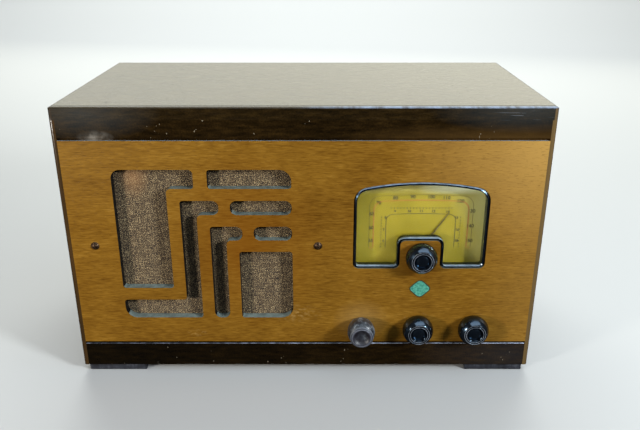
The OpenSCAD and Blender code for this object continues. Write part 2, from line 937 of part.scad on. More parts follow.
// The sheet steel bracket that carries the dial plate and the drive above the chassis.
module dial_bracket() {
    gusset_y = chassis_y + bracket_foot_l;
    color(steel)
        in_cabinet()
            difference() {
                union() {
                    upright(bracket_y, bracket_t)
                        rounded(
                            dial_x - bracket_w / 2, dial_x + bracket_w / 2, chassis_top, window_top,
                            [small_r, small_r, fuse, fuse]
                        );
                    for (s = [0, 1])
                        translate([dial_x, 0, 0])
                            mirror([s, 0, 0]) {
                                along_x(bracket_w / 2 - bracket_t, bracket_t)
                                    polygon([
                                        [bracket_y, chassis_top], [gusset_y, chassis_top],
                                        [gusset_y, chassis_top + gusset_h], [housing_y, dial_z],
                                        [bracket_y, dial_z]
                                    ]);
                                translate([bracket_w / 2 - bracket_foot_w, chassis_y, chassis_top])
                                    cube([bracket_foot_w, bracket_foot_l, bracket_t]);
                            }
                }
                rod(dial_x, dial_z, bracket_y - eps, housing_y + eps, sleeve_d + 1);
                for (s = [-1, 1])
                    rod(
                        dial_x + s * lamp_offset, lamp_z, bracket_y - eps, housing_y + eps,
                        lamp_d + 3 * lamp_ring_t
                    );
            }
}

// Two bulbs in cup-shaped holders, behind the openings of the dial bracket.
module dial_lamps() {
    cup_r = (lamp_d + 3 * lamp_ring_t) / 2 + lamp_ring_t;
    color(brass)
        in_cabinet()
            for (s = [-1, 1])
                turned(dial_x + s * lamp_offset, lamp_z, housing_y)
                    difference() {
                        union() {
                            translate([cup_r - lamp_ring_t, 0])
                                square([lamp_ring_t + lamp_flange_w, lamp_ring_t]);
                            translate([cup_r - lamp_ring_t, 0])
                                square([lamp_ring_t, lamp_holder_l + lamp_ring_t]);
                            translate([0, lamp_holder_l])
                                square([cup_r, lamp_ring_t]);
                            translate([0, lamp_holder_l])
                                square([lamp_d / 2 + lamp_ring_t, lamp_socket_l]);
                            translate([0, lamp_holder_l - lamp_ring_t])
                                circle((lamp_d - lamp_ring_t) / 2);
                        }
                        translate([-lamp_d, -lamp_d])
                            square([lamp_d, 4 * lamp_d]);
                    }
}

// The fixed outer race of the ball drive, screwed behind the bracket.
module drive_housing() {
    color(brass)
        in_cabinet()
            difference() {
                union() {
                    rod(dial_x, dial_z, housing_y, housing_y + housing_l, housing_d);
                    upright(housing_y, housing_lug_t)
                        rounded(
                            dial_x - housing_d / 2 - housing_lug, dial_x + housing_d / 2 + housing_lug,
                            dial_z - housing_lug_w / 2, dial_z + housing_lug_w / 2,
                            [small_r, small_r, small_r, small_r]
                        );
                }
                rod(dial_x, dial_z, housing_y - eps, housing_y + housing_l + eps, cage_d + 2 * running);
                turned(dial_x, dial_z, ball_y)
                    translate([ball_orbit_r, 0])
                        circle(ball_d / 2 + running);
                for (s = [-1, 1])
                    rod(
                        dial_x + s * (housing_d + housing_lug) / 2, dial_z, housing_y - eps,
                        housing_y + housing_lug_t + eps, housing_screw_d
                    );
            }
}

// The input spindle, necked where the three balls roll on it.
module drive_spindle() {
    color(steel)
        in_cabinet()
            difference() {
                rod(dial_x, dial_z, shaft_tip_y, spindle_end_y, spindle_d);
                turned(dial_x, dial_z, ball_y)
                    translate([ball_orbit_r, 0])
                        circle(ball_d / 2 + running);
            }
}

// Cage, pointer sleeve and rear hub in one turned piece, with a pocket for each ball.
module drive_hub() {
    color(brass)
        in_cabinet()
            difference() {
                union() {
                    rod(dial_x, dial_z, sleeve_y, hub_end_y, sleeve_d);
                    rod(dial_x, dial_z, housing_y + shaft_gap, hub_end_y, cage_d);
                }
                rod(dial_x, dial_z, sleeve_y - eps, spindle_end_y + shaft_gap, spindle_d + 2 * running);
                rod(dial_x, dial_z, shaft_socket_y, hub_end_y + eps, spindle_d + 2 * running);
                for (a = [0, 120, 240])
                    ball_place(a)
                        sphere(d = ball_d + 4 * running);
            }
}

module ball_place(a) {
    translate([dial_x, ball_y, dial_z])
        rotate([0, pointer_angle + a, 0])
            translate([0, 0, ball_orbit_r])
                children();
}

module drive_balls() {
    color(steel)
        in_cabinet()
            for (a = [0, 120, 240])
                ball_place(a)
                    sphere(d = ball_d);
}

// The needle is drawn upright and turned to its angle, with a short tail.
module dial_pointer() {
    color(bakelite)
        in_cabinet()
            translate([dial_x, 0, dial_z])
                rotate([0, pointer_angle, 0])
                    upright(pointer_y, pointer_t)
                        difference() {
                            union() {
                                circle(sleeve_d / 2 + pointer_w);
                                polygon([
                                    [-pointer_w / 2, 0], [-pointer_tip_w / 2, pointer_length],
                                    [pointer_tip_w / 2, pointer_length], [pointer_w / 2, 0]
                                ]);
                                translate([-pointer_w / 2, -pointer_tail_l])
                                    square([pointer_w, pointer_tail_l]);
                            }
                            circle(sleeve_d / 2 + running);
                        }
}

// Half-turned outline of a black knob: a domed skirt and two raised rings round a dished face.
module knob_outline() {
    skirt_h = 2;
    step = 1;
    ring_w = 0.9;
    dome_r = knob_h - step;
    dish_depth = 3.2;
    dish_r = 9.6;
    difference() {
        union() {
            square([knob_d / 2, skirt_h]);
            intersection() {
                square([knob_d / 2, knob_h - step]);
                translate([knob_d / 2 - dome_r, skirt_h])
                    circle(dome_r);
            }
            square([face_ring_d / 2, knob_h - step]);
            for (d = [face_ring_d, inner_ring_d])
                translate([d / 2 - ring_w, 0])
                    square([ring_w, knob_h]);
        }
        translate([0, knob_h + dish_r - dish_depth])
            circle(dish_r);
        translate([-knob_d, -eps])
            square([knob_d, knob_h + knob_d]);
    }
}

module black_knob(x, z) {
    color(bakelite)
        in_cabinet()
            difference() {
                translate([x, -knob_gap, z])
                    rotate([90, 0, 0])
                        rotate_extrude()
                            knob_outline();
                knob_bore(x, z);
            }
}

module knob_bore(x, z) {
    rod(x, z, shaft_tip_y - 2 * slack, eps - knob_gap, spindle_d + 2 * running);
}

module tuning_knob() {
    black_knob(dial_x, dial_z);
}

module tone_knob() {
    black_knob(tone_x, control_z);
}

module band_knob() {
    black_knob(band_x, control_z);
}

// Half-turned outline of the odd knob: a swelling barrel, a waist and a rolled rim round a bowl.
module odd_knob_outline() {
    roll_r = 2;
    widest_h = 10.5;
    waist_h = odd_knob_h - 2 * roll_r - 0.6;
    foot_step = (odd_knob_d - odd_base_d) / 2;
    waist_step = (odd_knob_d - odd_waist_d) / 2;
    belly_r = (widest_h * widest_h + foot_step * foot_step) / (2 * foot_step);
    crown_h = waist_h - widest_h;
    crown_r = (crown_h * crown_h + waist_step * waist_step) / (2 * waist_step);
    bowl_depth = 2.6;
    bowl_r = (odd_bowl_d * odd_bowl_d / 4 + bowl_depth * bowl_depth) / (2 * bowl_depth);
    bowl_a = asin(odd_bowl_d / 2 / bowl_r);
    polygon(concat(
        [[0, 0]],
        arc([odd_knob_d / 2 - belly_r, widest_h], belly_r, -asin(widest_h / belly_r), 0, 6),
        arc([odd_knob_d / 2 - crown_r, widest_h], crown_r, 5, asin(crown_h / crown_r), 6),
        arc([odd_rim_d / 2 - roll_r, odd_knob_h - roll_r], roll_r, -60, 90, 8),
        arc([0, odd_knob_h - bowl_depth + bowl_r], bowl_r, bowl_a - 90, -90, 6)
    ));
}

module volume_knob() {
    color([0.35, 0.34, 0.35])
        in_cabinet()
            difference() {
                translate([volume_x, -knob_gap, control_z])
                    rotate([90, 0, 0])
                        rotate_extrude()
                            odd_knob_outline();
                knob_bore(volume_x, control_z);
            }
}

// The U-shaped frame of the tuning capacitor, its end plates standing on the chassis.
module capacitor_frame() {
    half_w = capacitor_w / 2;
    top = dial_z + rotor_r + 2 * stator_inset;
    color(steel)
        in_cabinet()
            difference() {
                union() {
                    for (y = [capacitor_y, capacitor_y + capacitor_l - end_t])
                        upright(y, end_t)
                            rounded(
                                dial_x - half_w, dial_x + half_w, chassis_top, top,
                                [upper_corner_r, upper_corner_r, fuse, fuse]
                            );
                    translate([dial_x - half_w, capacitor_y, capacitor_floor_z])
                        cube([capacitor_w, capacitor_l, end_t]);
                    for (y = [capacitor_y, capacitor_y + capacitor_l - end_foot_l])
                        translate([dial_x - half_w, y, chassis_top])
                            cube([capacitor_w, end_foot_l, end_t]);
                }
                rod(
                    dial_x, dial_z, capacitor_y - eps, capacitor_y + capacitor_l + eps,
                    spindle_d + 2 * running
                );
            }
}

function gang_y(i) = capacitor_y + end_t + gang_gap + i * (gang_l + gang_gap);

// Two gangs of fixed plates below the shaft, each on its own pair of rods.
module capacitor_stator() {
    half_w = capacitor_w / 2 - stator_inset;
    low = stator_z - dial_z;
    color([0.75, 0.75, 0.76])
        in_cabinet()
            for (gang = [0, 1])
                translate([dial_x, gang_y(gang), dial_z]) {
                    for (i = [0:rotor_plates])
                        upright(i * plate_pitch, plate_t)
                            difference() {
                                translate([-half_w, low])
                                    square([2 * half_w, -low]);
                                circle(spacer_r + plate_gap);
                            }
                    for (s = [-1, 1])
                        rod(
                            s * (half_w - stator_rod_d), low + stator_rod_d, 0,
                            gang_l - plate_pitch + plate_t, stator_rod_d
                        );
                }
}

module stator_insulators() {
    half_w = capacitor_w / 2 - stator_inset;
    color([0.86, 0.83, 0.76])
        in_cabinet()
            for (gang = [0, 1])
                for (s = [-1, 1])
                    translate([
                        dial_x + s * (half_w - insulator_w / 2) - insulator_w / 2, gang_y(gang),
                        stator_z - insulator_h
                    ])
                        cube([insulator_w, gang_l - plate_pitch + plate_t, insulator_h]);
}

// The shaft with its spacers and two gangs of half-round plates, turned with the pointer.
module capacitor_rotor() {
    tail_y = capacitor_y + capacitor_l + stator_inset;
    color([0.8, 0.8, 0.81])
        in_cabinet()
            translate([dial_x, 0, dial_z])
                rotate([0, rotor_angle, 0])
                    union() {
                        rod(0, 0, shaft_socket_y + shaft_gap, tail_y, spindle_d);
                        for (gang = [0, 1]) {
                            rod(0, 0, gang_y(gang) - end_t, gang_y(gang) + gang_l, 2 * spacer_r);
                            for (i = [0:rotor_plates - 1])
                                upright(gang_y(gang) + (i + 0.5) * plate_pitch, plate_t)
                                    intersection() {
                                        circle(rotor_r);
                                        translate([-rotor_r, -rotor_r - eps])
                                            square([2 * rotor_r, rotor_r + plate_gap]);
                                    }
                        }
                    }
}

// A potentiometer or switch behind the chassis apron, its bush through it.
module control_body(x, d, l) {
    difference() {
        union() {
            rod(x, control_z, apron_y, apron_y + l, d);
            rod(x, control_z, chassis_y - bush_l, apron_y + eps, bush_d);
        }
        rod(x, control_z, chassis_y - bush_l - eps, apron_y + shaft_depth + eps, spindle_d + 2 * running);
    }
}

module control_shaft(x) {
    color(steel)
        in_cabinet()
            rod(x, control_z, shaft_tip_y, apron_y + shaft_depth, spindle_d);
}

module volume_control() {
    color([0.5, 0.45, 0.4])
        in_cabinet()
            union() {
                control_body(volume_x, control_d, control_l);
                rod(volume_x, control_z, apron_y + control_l, apron_y + 2 * control_l, mains_switch_d);
            }
}

module tone_control() {
    color([0.5, 0.45, 0.4])
        in_cabinet()
            control_body(tone_x, control_d, control_l);
}

// A wafer switch: a round index plate and two wafers on spacer rods.
module band_switch() {
    color([0.55, 0.42, 0.28])
        in_cabinet()
            union() {
                control_body(band_x, index_d, index_l);
                for (s = [-1, 1])
                    rod(
                        band_x + s * wafer_rod_r, control_z, apron_y + index_l - fuse,
                        apron_y + wafer_rod_l, wafer_rod_d
                    );
                for (y = [index_l + wafer_pitch, index_l + 2 * wafer_pitch])
                    rod(band_x, control_z, apron_y + y - wafer_t, apron_y + y, wafer_d);
            }
}

module volume_shaft() {
    control_shaft(volume_x);
}

module tone_shaft() {
    control_shaft(tone_x);
}

module band_shaft() {
    control_shaft(band_x);
}

module control_nuts() {
    color(steel)
        in_cabinet()
            for (x = [volume_x, tone_x, band_x])
                difference() {
                    translate([x, chassis_y - nut_t, control_z])
                        rotate([-90, 0, 0])
                            cylinder(h = nut_t, d = nut_d, $fn = 6);
                    rod(x, control_z, chassis_y - nut_t - eps, chassis_y + eps, bush_d + 2 * running);
                }
}

module baffle_board() {
    color(raw_wood)
        in_cabinet()
            difference() {
                upright(baffle_y, baffle_t)
                    difference() {
                        translate([baffle_x0, screw_z - baffle_h / 2])
                            square([baffle_x1 - baffle_x0, baffle_h]);
                        translate([grille_x, grille_z])
                            circle(d = speaker_hole_d);
                    }
                for (x = screw_places)
                    rod(x, screw_z, baffle_y - eps, speaker_y + eps, screw_d + 2 * slack);
            }
}

// The cloth is glued to the baffle board and pierced where a screw meets it.
module grille_cloth() {
    color([0.5, 0.45, 0.36])
        in_cabinet()
            upright(cloth_y, cloth_t)
                difference() {
                    translate([grille_x - cloth_w / 2, grille_z - cloth_h / 2])
                        square([cloth_w, cloth_h]);
                    for (x = screw_places)
                        translate([x, screw_z])
                            circle(d = screw_d + 2 * slack);
                }
}

// Round-headed screws through the front panel and the baffle board, each with its nut.
module baffle_screws() {
    nut_h = 3;
    color([0.16, 0.13, 0.1])
        in_cabinet()
            for (x = screw_places)
                translate([x, 0, screw_z]) {
                    round_head_screw(screw_d, speaker_y + nut_h + 2);
                    difference() {
                        translate([0, speaker_y, 0])
                            rotate([-90, 0, 0])
                                cylinder(h = nut_h, d = 2 * screw_d, $fn = 6);
                        rod(0, 0, speaker_y - eps, speaker_y + nut_h + eps, screw_d + 2 * running);
                    }
                }
}

// The pressed basket: a flat flange, a cone with six windows and a rear ring.
module speaker_frame() {
    color(steel)
        in_cabinet()
            difference() {
                turned(grille_x, grille_z, speaker_y + gasket_t)
                    union() {
                        translate([basket_r, 0])
                            square([speaker_d / 2 - basket_r, frame_t]);
                        polygon([
                            [basket_r, 0], [basket_r + frame_t, 0], [basket_r + frame_t, basket_step],
                            [basket_end_r, basket_depth + frame_t], [basket_end_r - frame_t, basket_depth],
                            [basket_r, basket_step]
                        ]);
                        translate([spider_r - 2, basket_depth])
                            square([basket_end_r - spider_r + 2, frame_t]);
                    }
                for (i = [0:5])
                    translate([grille_x, speaker_y + gasket_t + basket_step + 1, grille_z])
                        rotate([0, 60 * i, 0])
                            translate([-basket_window_w / 2, 0, spider_r])
                                cube([basket_window_w, basket_depth - 2 * basket_step, speaker_d / 2]);
            }
}

// The magnet pot: a front plate with the voice coil gap, and the centre pole.
module speaker_magnet() {
    color([0.2, 0.2, 0.21])
        in_cabinet()
            turned(grille_x, grille_z, magnet_y)
                difference() {
                    square([magnet_d / 2, magnet_l]);
                    translate([former_r - former_t - coil_clearance, -eps])
                        square([former_t + winding_t + 2 * coil_clearance, coil_gap_depth + eps]);
                }
}

// Paper cone and dust cap, open at the neck where the voice coil joins.
module speaker_cone() {
    cap_y = neck_y + basket_step;
    color(paper)
        in_cabinet()
            turned(grille_x, grille_z, 0)
                union() {
                    polygon([
                        [cone_r, basket_y], [cone_r + cone_t, basket_y],
                        [former_r + 2 * cone_t, neck_y], [former_r + cone_t / 4, neck_y]
                    ]);
                    intersection() {
                        difference() {
                            translate([0, cap_y])
                                circle(cap_r);
                            translate([0, cap_y])
                                circle(cap_r - cap_t);
                        }
                        translate([0, neck_y - cap_r])
                            square([former_r + 2 * cone_t, cap_r - eps]);
                    }
                }
}

module voice_coil() {
    color([0.6, 0.35, 0.2])
        in_cabinet()
            turned(grille_x, grille_z, neck_y)
                union() {
                    translate([former_r - former_t, 0])
                        square([former_t, former_l]);
                    translate([former_r - former_t / 4, former_l / 2])
                        square([winding_t, winding_l]);
                }
}

// One corrugation between the cone's edge and the flat ring glued to the frame.
module cone_surround() {
    roll_r = (edge_w - gasket_t) / 2;
    color([0.3, 0.27, 0.24])
        in_cabinet()
            turned(grille_x, grille_z, speaker_y)
                union() {
                    translate([basket_r - edge_t, 0])
                        square([flange_w + edge_t, gasket_t]);
                    intersection() {
                        translate([basket_r - roll_r, gasket_t])
                            difference() {
                                circle(roll_r);
                                circle(roll_r - edge_t);
                            }
                        translate([0, edge_t])
                            square([speaker_d, speaker_d]);
                    }
                }
}

module spider() {
    color([0.7, 0.6, 0.35])
        in_cabinet()
            turned(grille_x, grille_z, magnet_y - frame_t - spider_t)
                difference() {
                    translate([former_r + slack, 0])
                        square([spider_r + 2 - former_r, spider_t]);
                    for (u = [0.3, 0.56])
                        translate([former_r + u * (spider_r - former_r), -0.1])
                            circle(0.4);
                }
}

// A stack of laminations with its winding, at a place on the chassis: width, depth, height.
module transformer(at, size) {
    w = size[0];
    d = size[1];
    h = size[2];
    color([0.2, 0.2, 0.22])
        in_cabinet()
            translate([at[0], at[1], chassis_top]) {
                translate([-w / 2, -d / 4, 0])
                    cube([w, d / 2, h]);
                for (s = [0, 1])
                    mirror([0, s, 0])
                        intersection() {
                            translate([-w * 0.36, d / 4, h * 0.1])
                                cube([w * 0.72, d / 4, h * 0.8]);
                            translate([-w / 2, 0, h / 2])
                                rotate([0, 90, 0])
                                    cylinder(h = w, r = h * 0.47);
                        }
            }
}

module output_transformer() {
    transformer(output_transformer_at, output_transformer_size);
}

module power_transformer() {
    transformer(transformer_at, transformer_size);
}

module chassis() {
    color(steel)
        in_cabinet()
            difference() {
                union() {
                    difference() {
                        translate([-chassis_w / 2, chassis_y, chassis_z])
                            cube([chassis_w, chassis_d, chassis_h]);
                        translate([-chassis_w / 2 + chassis_t, apron_y, chassis_z - eps])
                            cube([
                                chassis_w - 2 * chassis_t, chassis_d - 2 * chassis_t,
                                chassis_h - chassis_t + eps
                            ]);
                    }
                    for (p = bolt_places())
                        translate([p[0] - bolt_pad_w / 2, p[1] - bolt_pad_w / 2, chassis_z])
                            cube([bolt_pad_w, bolt_pad_w, chassis_t]);
                }
                for (x = [volume_x, tone_x, band_x])
                    rod(x, control_z, chassis_y - eps, apron_y + eps, bush_d + 2 * slack);
                for (p = concat(small_tube_at, large_tube_at))
                    translate([p[0], p[1], chassis_top - chassis_t - eps])
                        cylinder(h = chassis_t + 2 * eps, r = socket_below_r + eps);
                for (p = bolt_places())
                    translate([p[0], p[1], chassis_z - eps])
                        cylinder(h = chassis_t + 2 * eps, d = bolt_d + 2 * running);
            }
}

// Four bolts from below, through the bottom panel into the chassis.
module chassis_bolts() {
    color(steel)
        in_cabinet()
            for (p = bolt_places())
                translate([p[0], p[1], -bolt_head_h]) {
                    cylinder(h = bolt_head_h, d = bolt_head_d);
                    cylinder(h = bolt_head_h + bolt_l, d = bolt_d);
                }
}

module shield_cans() {
    color([0.78, 0.79, 0.8])
        in_cabinet() {
            for (p = coil_can_at)
                can(p, coil_can_size);
            can(electrolytic_at, electrolytic_size);
        }
}

// A drawn can with a rounded top, of a given radius and height.
module can(at, size) {
    r = size[0];
    h = size[1];
    translate([at[0], at[1], chassis_top])
        rotate_extrude()
            intersection() {
                rounded(-r, r, 0, h, [small_r, small_r, fuse, fuse]);
                square([r, h]);
            }
}

// Half-turned outline of a shouldered bulb of diameter d and height h, drawn in by g.
module bulb_outline(d, h, g) {
    r = d / 2;
    neck_r = r * 0.72;
    dome_r = r * 0.66;
    belly_z = h * 0.3;
    shoulder_z = h * 0.62;
    polygon(concat(
        [[0, g]],
        [[neck_r - g, g]],
        arc([r - h * 0.16, belly_z], h * 0.16 - g, -40, 38, 8),
        [[dome_r + 1 - g, shoulder_z]],
        arc([0, h - dome_r], dome_r - g, 0, 90, 10)
    ));
}

module bulb(at, d, h) {
    color(clear_glass)
        in_cabinet()
            translate([at[0], at[1], tube_z])
                rotate_extrude()
                    difference() {
                        bulb_outline(d, h, 0);
                        bulb_outline(d, h, glass_t);
                    }
}

module rf_tube() {
    bulb(small_tube_at[0], small_tube_d, small_tube_h);
}

module detector_tube() {
    bulb(small_tube_at[1], small_tube_d, small_tube_h);
}

module output_tube() {
    bulb(large_tube_at[0], large_tube_d, large_tube_h);
}

module rectifier_tube() {
    bulb(large_tube_at[1], large_tube_d, large_tube_h);
}

// Anode and mica discs on the glass foot of each valve.
module tube_electrodes() {
    color([0.35, 0.35, 0.36])
        in_cabinet() {
            for (p = small_tube_at)
                electrodes(p, small_tube_d, small_tube_h);
            for (p = large_tube_at)
                electrodes(p, large_tube_d, large_tube_h);
        }
}

module electrodes(p, d, h) {
    translate([p[0], p[1], tube_z + glass_t])
        rotate_extrude()
            union() {
                square([d * 0.22, h * 0.14]);
                square([d * 0.12, h * 0.2]);
                translate([0, h * 0.18])
                    square([d * 0.2, h * 0.42]);
                translate([0, h * 0.18])
                    square([d * 0.26, 1]);
                translate([0, h * 0.6])
                    square([d * 0.26, 1]);
            }
}

module tube_bases() {
    color(bakelite)
        in_cabinet()
            for (p = concat(small_tube_at, large_tube_at))
                translate([p[0], p[1], chassis_top + socket_t]) {
                    cylinder(h = base_h, r = base_r);
                    for (a = [0:72:288])
                        rotate(a)
                            translate([pin_orbit_r, 0, -pin_l])
                                cylinder(h = pin_l, d = pin_d);
                }
}

module tube_sockets() {
    color([0.35, 0.2, 0.12])
        in_cabinet()
            for (p = concat(small_tube_at, large_tube_at))
                translate([p[0], p[1], chassis_top])
                    difference() {
                        union() {
                            cylinder(h = socket_t, r = socket_r);
                            translate([0, 0, -socket_below])
                                cylinder(h = socket_below, r = socket_below_r);
                        }
                        for (a = [0:72:288])
                            rotate(a)
                                translate([pin_orbit_r, 0, -socket_below - eps])
                                    cylinder(h = socket_t + socket_below + 2 * eps, d = pin_d + 2 * running);
                    }
}

side_panel_left();
side_panel_right();
top_panel();
bottom_panel();
front_panel();
top_rail();
bottom_rail();
glue_blocks();
feet();
back_cover();
back_screws();
cord_grommet();
terminal_strip();
dial_escutcheon();
dial_glass();
dial_plate();
dial_bracket();
dial_lamps();
drive_housing();
drive_spindle();
drive_hub();
drive_balls();
dial_pointer();
tuning_knob();
capacitor_frame();
capacitor_stator();
stator_insulators();
capacitor_rotor();
volume_control();
volume_shaft();
volume_knob();
tone_control();
tone_shaft();
tone_knob();
band_switch();
band_shaft();
band_knob();
control_nuts();
baffle_board();
grille_cloth();
baffle_screws();
speaker_frame();
speaker_magnet();
speaker_cone();
voice_coil();
cone_surround();
spider();
output_transformer();
chassis();
chassis_bolts();
power_transformer();
shield_cans();
rf_tube();
detector_tube();
output_tube();
rectifier_tube();
tube_bases();
tube_sockets();
tube_electrodes();
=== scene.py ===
import math

import bmesh
import bpy
from mathutils import Matrix, Vector


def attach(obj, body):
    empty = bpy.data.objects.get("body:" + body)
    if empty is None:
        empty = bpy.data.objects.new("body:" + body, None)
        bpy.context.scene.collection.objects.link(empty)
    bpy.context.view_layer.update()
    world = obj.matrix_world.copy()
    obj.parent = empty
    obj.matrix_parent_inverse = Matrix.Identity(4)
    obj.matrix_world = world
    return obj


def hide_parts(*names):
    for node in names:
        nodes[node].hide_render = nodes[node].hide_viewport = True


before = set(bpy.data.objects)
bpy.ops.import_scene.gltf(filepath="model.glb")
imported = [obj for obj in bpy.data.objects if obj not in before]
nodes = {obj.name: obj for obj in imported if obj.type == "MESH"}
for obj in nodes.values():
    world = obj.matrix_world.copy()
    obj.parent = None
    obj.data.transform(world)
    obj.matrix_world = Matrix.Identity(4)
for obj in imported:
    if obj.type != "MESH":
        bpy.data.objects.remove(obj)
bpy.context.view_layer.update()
scene = bpy.context.scene
scene.view_settings.view_transform = "Standard"

# The camera stands a little right of the middle, 0.62 m in front of the cabinet and 0.42 m
# above its lower edge, tilted down 21.8 degrees, as fitted to the cabinet's corners.
camera_data = bpy.data.cameras.new("camera")
camera_data.lens = 38.99
camera = bpy.data.objects.new("camera", camera_data)
camera.location = (0.01532, -0.73656, 0.42982)
camera.rotation_euler = (math.pi / 2 - 0.381, 0, 0)
scene.collection.objects.link(camera)
scene.camera = camera

# The set stands on a plain pale studio floor: a bluish light at the upper right and a weaker
# one at the left throw the grille's two shadows, and a broad screen stands behind. The floor
# throws no light up on the set and isn't mirrored in it, which keeps its shadows deep.


def rgb(red, green, blue):
    """A colour read as 8-bit sRGB, as the linear one that a shader takes."""
    channels = (red, green, blue)
    return tuple(((c / 255 + 0.055) / 1.055) ** 2.4 if c > 10 else c / 3295 for c in channels)


class Socket:
    """A shader socket in a Python expression, which adds its Math nodes."""

    def __init__(self, finish, socket):
        self.finish = finish
        self.socket = socket

    def math(self, operation, first, second=0.0):
        return self.finish.node("Math", {"operation": operation}, {0: first, 1: second})

    def __add__(self, other):
        return self.math("ADD", self, other)

    def __sub__(self, other):
        return self.math("SUBTRACT", self, other)

    def __rsub__(self, other):
        return self.math("SUBTRACT", other, self)

    def __mul__(self, other):
        return self.math("MULTIPLY", self, other)

    def __gt__(self, other):
        return self.math("GREATER_THAN", self, other)

    def __lt__(self, other):
        return self.math("LESS_THAN", self, other)


class Finish:
    """A procedural material, its constants set on the shader's own sockets."""

    def __init__(self, name, **constants):
        self.material = bpy.data.materials.new(name)
        self.material.use_nodes = True
        self.tree = self.material.node_tree
        self.shader = self.tree.nodes["Principled BSDF"]
        self.set(**constants)

    def put(self, socket, value):
        if isinstance(value, Socket):
            self.tree.links.new(value.socket, socket)
        elif isinstance(value, tuple) and len(value) == 3 and socket.type == "RGBA":
            socket.default_value = (*value, 1.0)
        else:
            socket.default_value = value

    def node(self, kind, settings, inputs, output=0):
        """Adds one node: its settings first, then the values or links of its sockets."""
        node = self.tree.nodes.new("ShaderNode" + kind)
        for key, value in settings.items():
            if key == "stops":
                for stop in value[1:-1]:
                    node.color_ramp.elements.new(stop[0])
                for element, stop in zip(node.color_ramp.elements, value):
                    element.position = stop[0]
                    element.color = (*stop[1], 1.0)
            else:
                setattr(node, key, value)
        for key, value in inputs.items():
            self.put(node.inputs[key], value)
        return Socket(self, node.outputs[output])

    def set(self, **sockets):
        for socket, value in sockets.items():
            self.put(self.shader.inputs[socket.replace("_", " ")], value)

    def place(self):
        """The place on the piece, in metres."""
        return self.node("TexCoord", {}, {}, "Object")

    def part(self, vector, axis):
        return self.node("SeparateXYZ", {}, {0: vector}, "XYZ".index(axis))

    def upward(self):
        """1 on a face that looks up, 0 on an upright one, -1 on one that looks down."""
        return self.facing("Z")

    def facing(self, axis):
        """How far a face looks along an axis, from -1 to 1."""
        return self.part(self.node("NewGeometry", {}, {}, "Normal"), axis)

    def noise(self, scale, detail=2.0, turn=(0, 0, 0), roughness=0.55):
        """Soft noise from 0 to 1, with so many lumps to the metre along each axis."""
        spread = self.node("Mapping", {}, {"Vector": self.place(), "Rotation": turn, "Scale": scale})
        sockets = {"Vector": spread, "Scale": 1.0, "Detail": detail, "Roughness": roughness}
        return self.node("TexNoise", {}, sockets)

    def span(self, value, low, high, to_low=0.0, to_high=1.0):
        """A value carried from one span to another, and kept inside it."""
        return self.node("MapRange", {}, {0: value, 1: low, 2: high, 3: to_low, 4: to_high})

    def ramp(self, value, *stops):
        return self.node("ValToRGB", {"stops": stops}, {0: value})

    def mix(self, share, first, second):
        """Two colours mixed, by a share of the second."""
        return self.node("Mix", {"data_type": "RGBA"}, {0: share, 6: first, 7: second}, 2)

    def patch(self, centre, size):
        """1 at a place on the piece, falling to 0 over the given half sizes."""
        away = self.node("VectorMath", {"operation": "SUBTRACT"}, {0: self.place(), 1: centre})
        scaled = self.node("VectorMath", {"operation": "DIVIDE"}, {0: away, 1: size})
        distance = self.node("VectorMath", {"operation": "LENGTH"}, {0: scaled}, "Value")
        return self.span(distance, 1.0, 0.0)

    def bump(self, height, depth):
        """Relief of the given depth in metres."""
        self.set(Normal=self.node("Bump", {}, {"Height": height, "Distance": depth}))

    def on(self, *names):
        """Lays the finish on CAD nodes."""
        for name in names:
            nodes[name].data.materials.clear()
            nodes[name].data.materials.append(self.material)


def at(x, y, z):
    """A point in millimetres from the cabinet's lower front edge, in the shared frame."""
    return Vector((x, y - 111.7, z + 8.5)) / 1000


world = bpy.data.worlds.new("studio")
world.use_nodes = True
scene.world = world
background = world.node_tree.nodes["Background"]
background.inputs["Color"].default_value = (0.86, 0.93, 1.0, 1.0)
background.inputs["Strength"].default_value = 0.05


def lamp(name, where, width, height, power, colour, aim=(0, 60, 130)):
    """A soft rectangular light that faces the set."""
    data = bpy.data.lights.new(name, "AREA")
    data.shape = "RECTANGLE"
    data.size = width
    data.size_y = height
    data.energy = power
    data.color = colour
    thing = bpy.data.objects.new(name, data)
    thing.location = where
    thing.rotation_euler = (at(*aim) - Vector(where)).to_track_quat("-Z", "Y").to_euler()
    scene.collection.objects.link(thing)


lamp("light_right", (1.35, -1.05, 0.82), 0.3, 0.3, 30.6, (0.9, 0.96, 1.0))
lamp("light_left", (-0.95, -0.85, 0.32), 0.15, 0.15, 10, (1.0, 0.96, 0.9))
lamp("light_over", (0.4, -0.72, 1.75), 2.2, 1.4, 13.4, (0.72, 0.86, 1.0))
lamp("light_floor_behind", (0.0, 1.9, 2.2), 2.6, 1.6, 60, (0.95, 1.0, 1.0), (0, 2300, 0))
lamp("light_floor_far", (0.0, 5.0, 2.8), 6.0, 3.0, 230, (0.95, 1.0, 1.0), (0, 5400, 0))
lamp("screen_behind", (0.3, 1.7, 1.05), 3.8, 1.3, 13.8, (1.0, 0.99, 0.825), (0, 150, 285))

floor_finish = Finish("pale_floor", Base_Color=(0.58, 0.58, 0.57), Roughness=0.6)
floor_mesh = bmesh.new()
bmesh.ops.create_grid(floor_mesh, x_segments=1, y_segments=1, size=9)
floor_data = bpy.data.meshes.new("floor")
floor_mesh.to_mesh(floor_data)
floor_mesh.free()
floor_data.materials.append(floor_finish.material)
floor = bpy.data.objects.new("floor", floor_data)
floor.visible_diffuse = False
floor.visible_glossy = False
scene.collection.objects.link(floor)
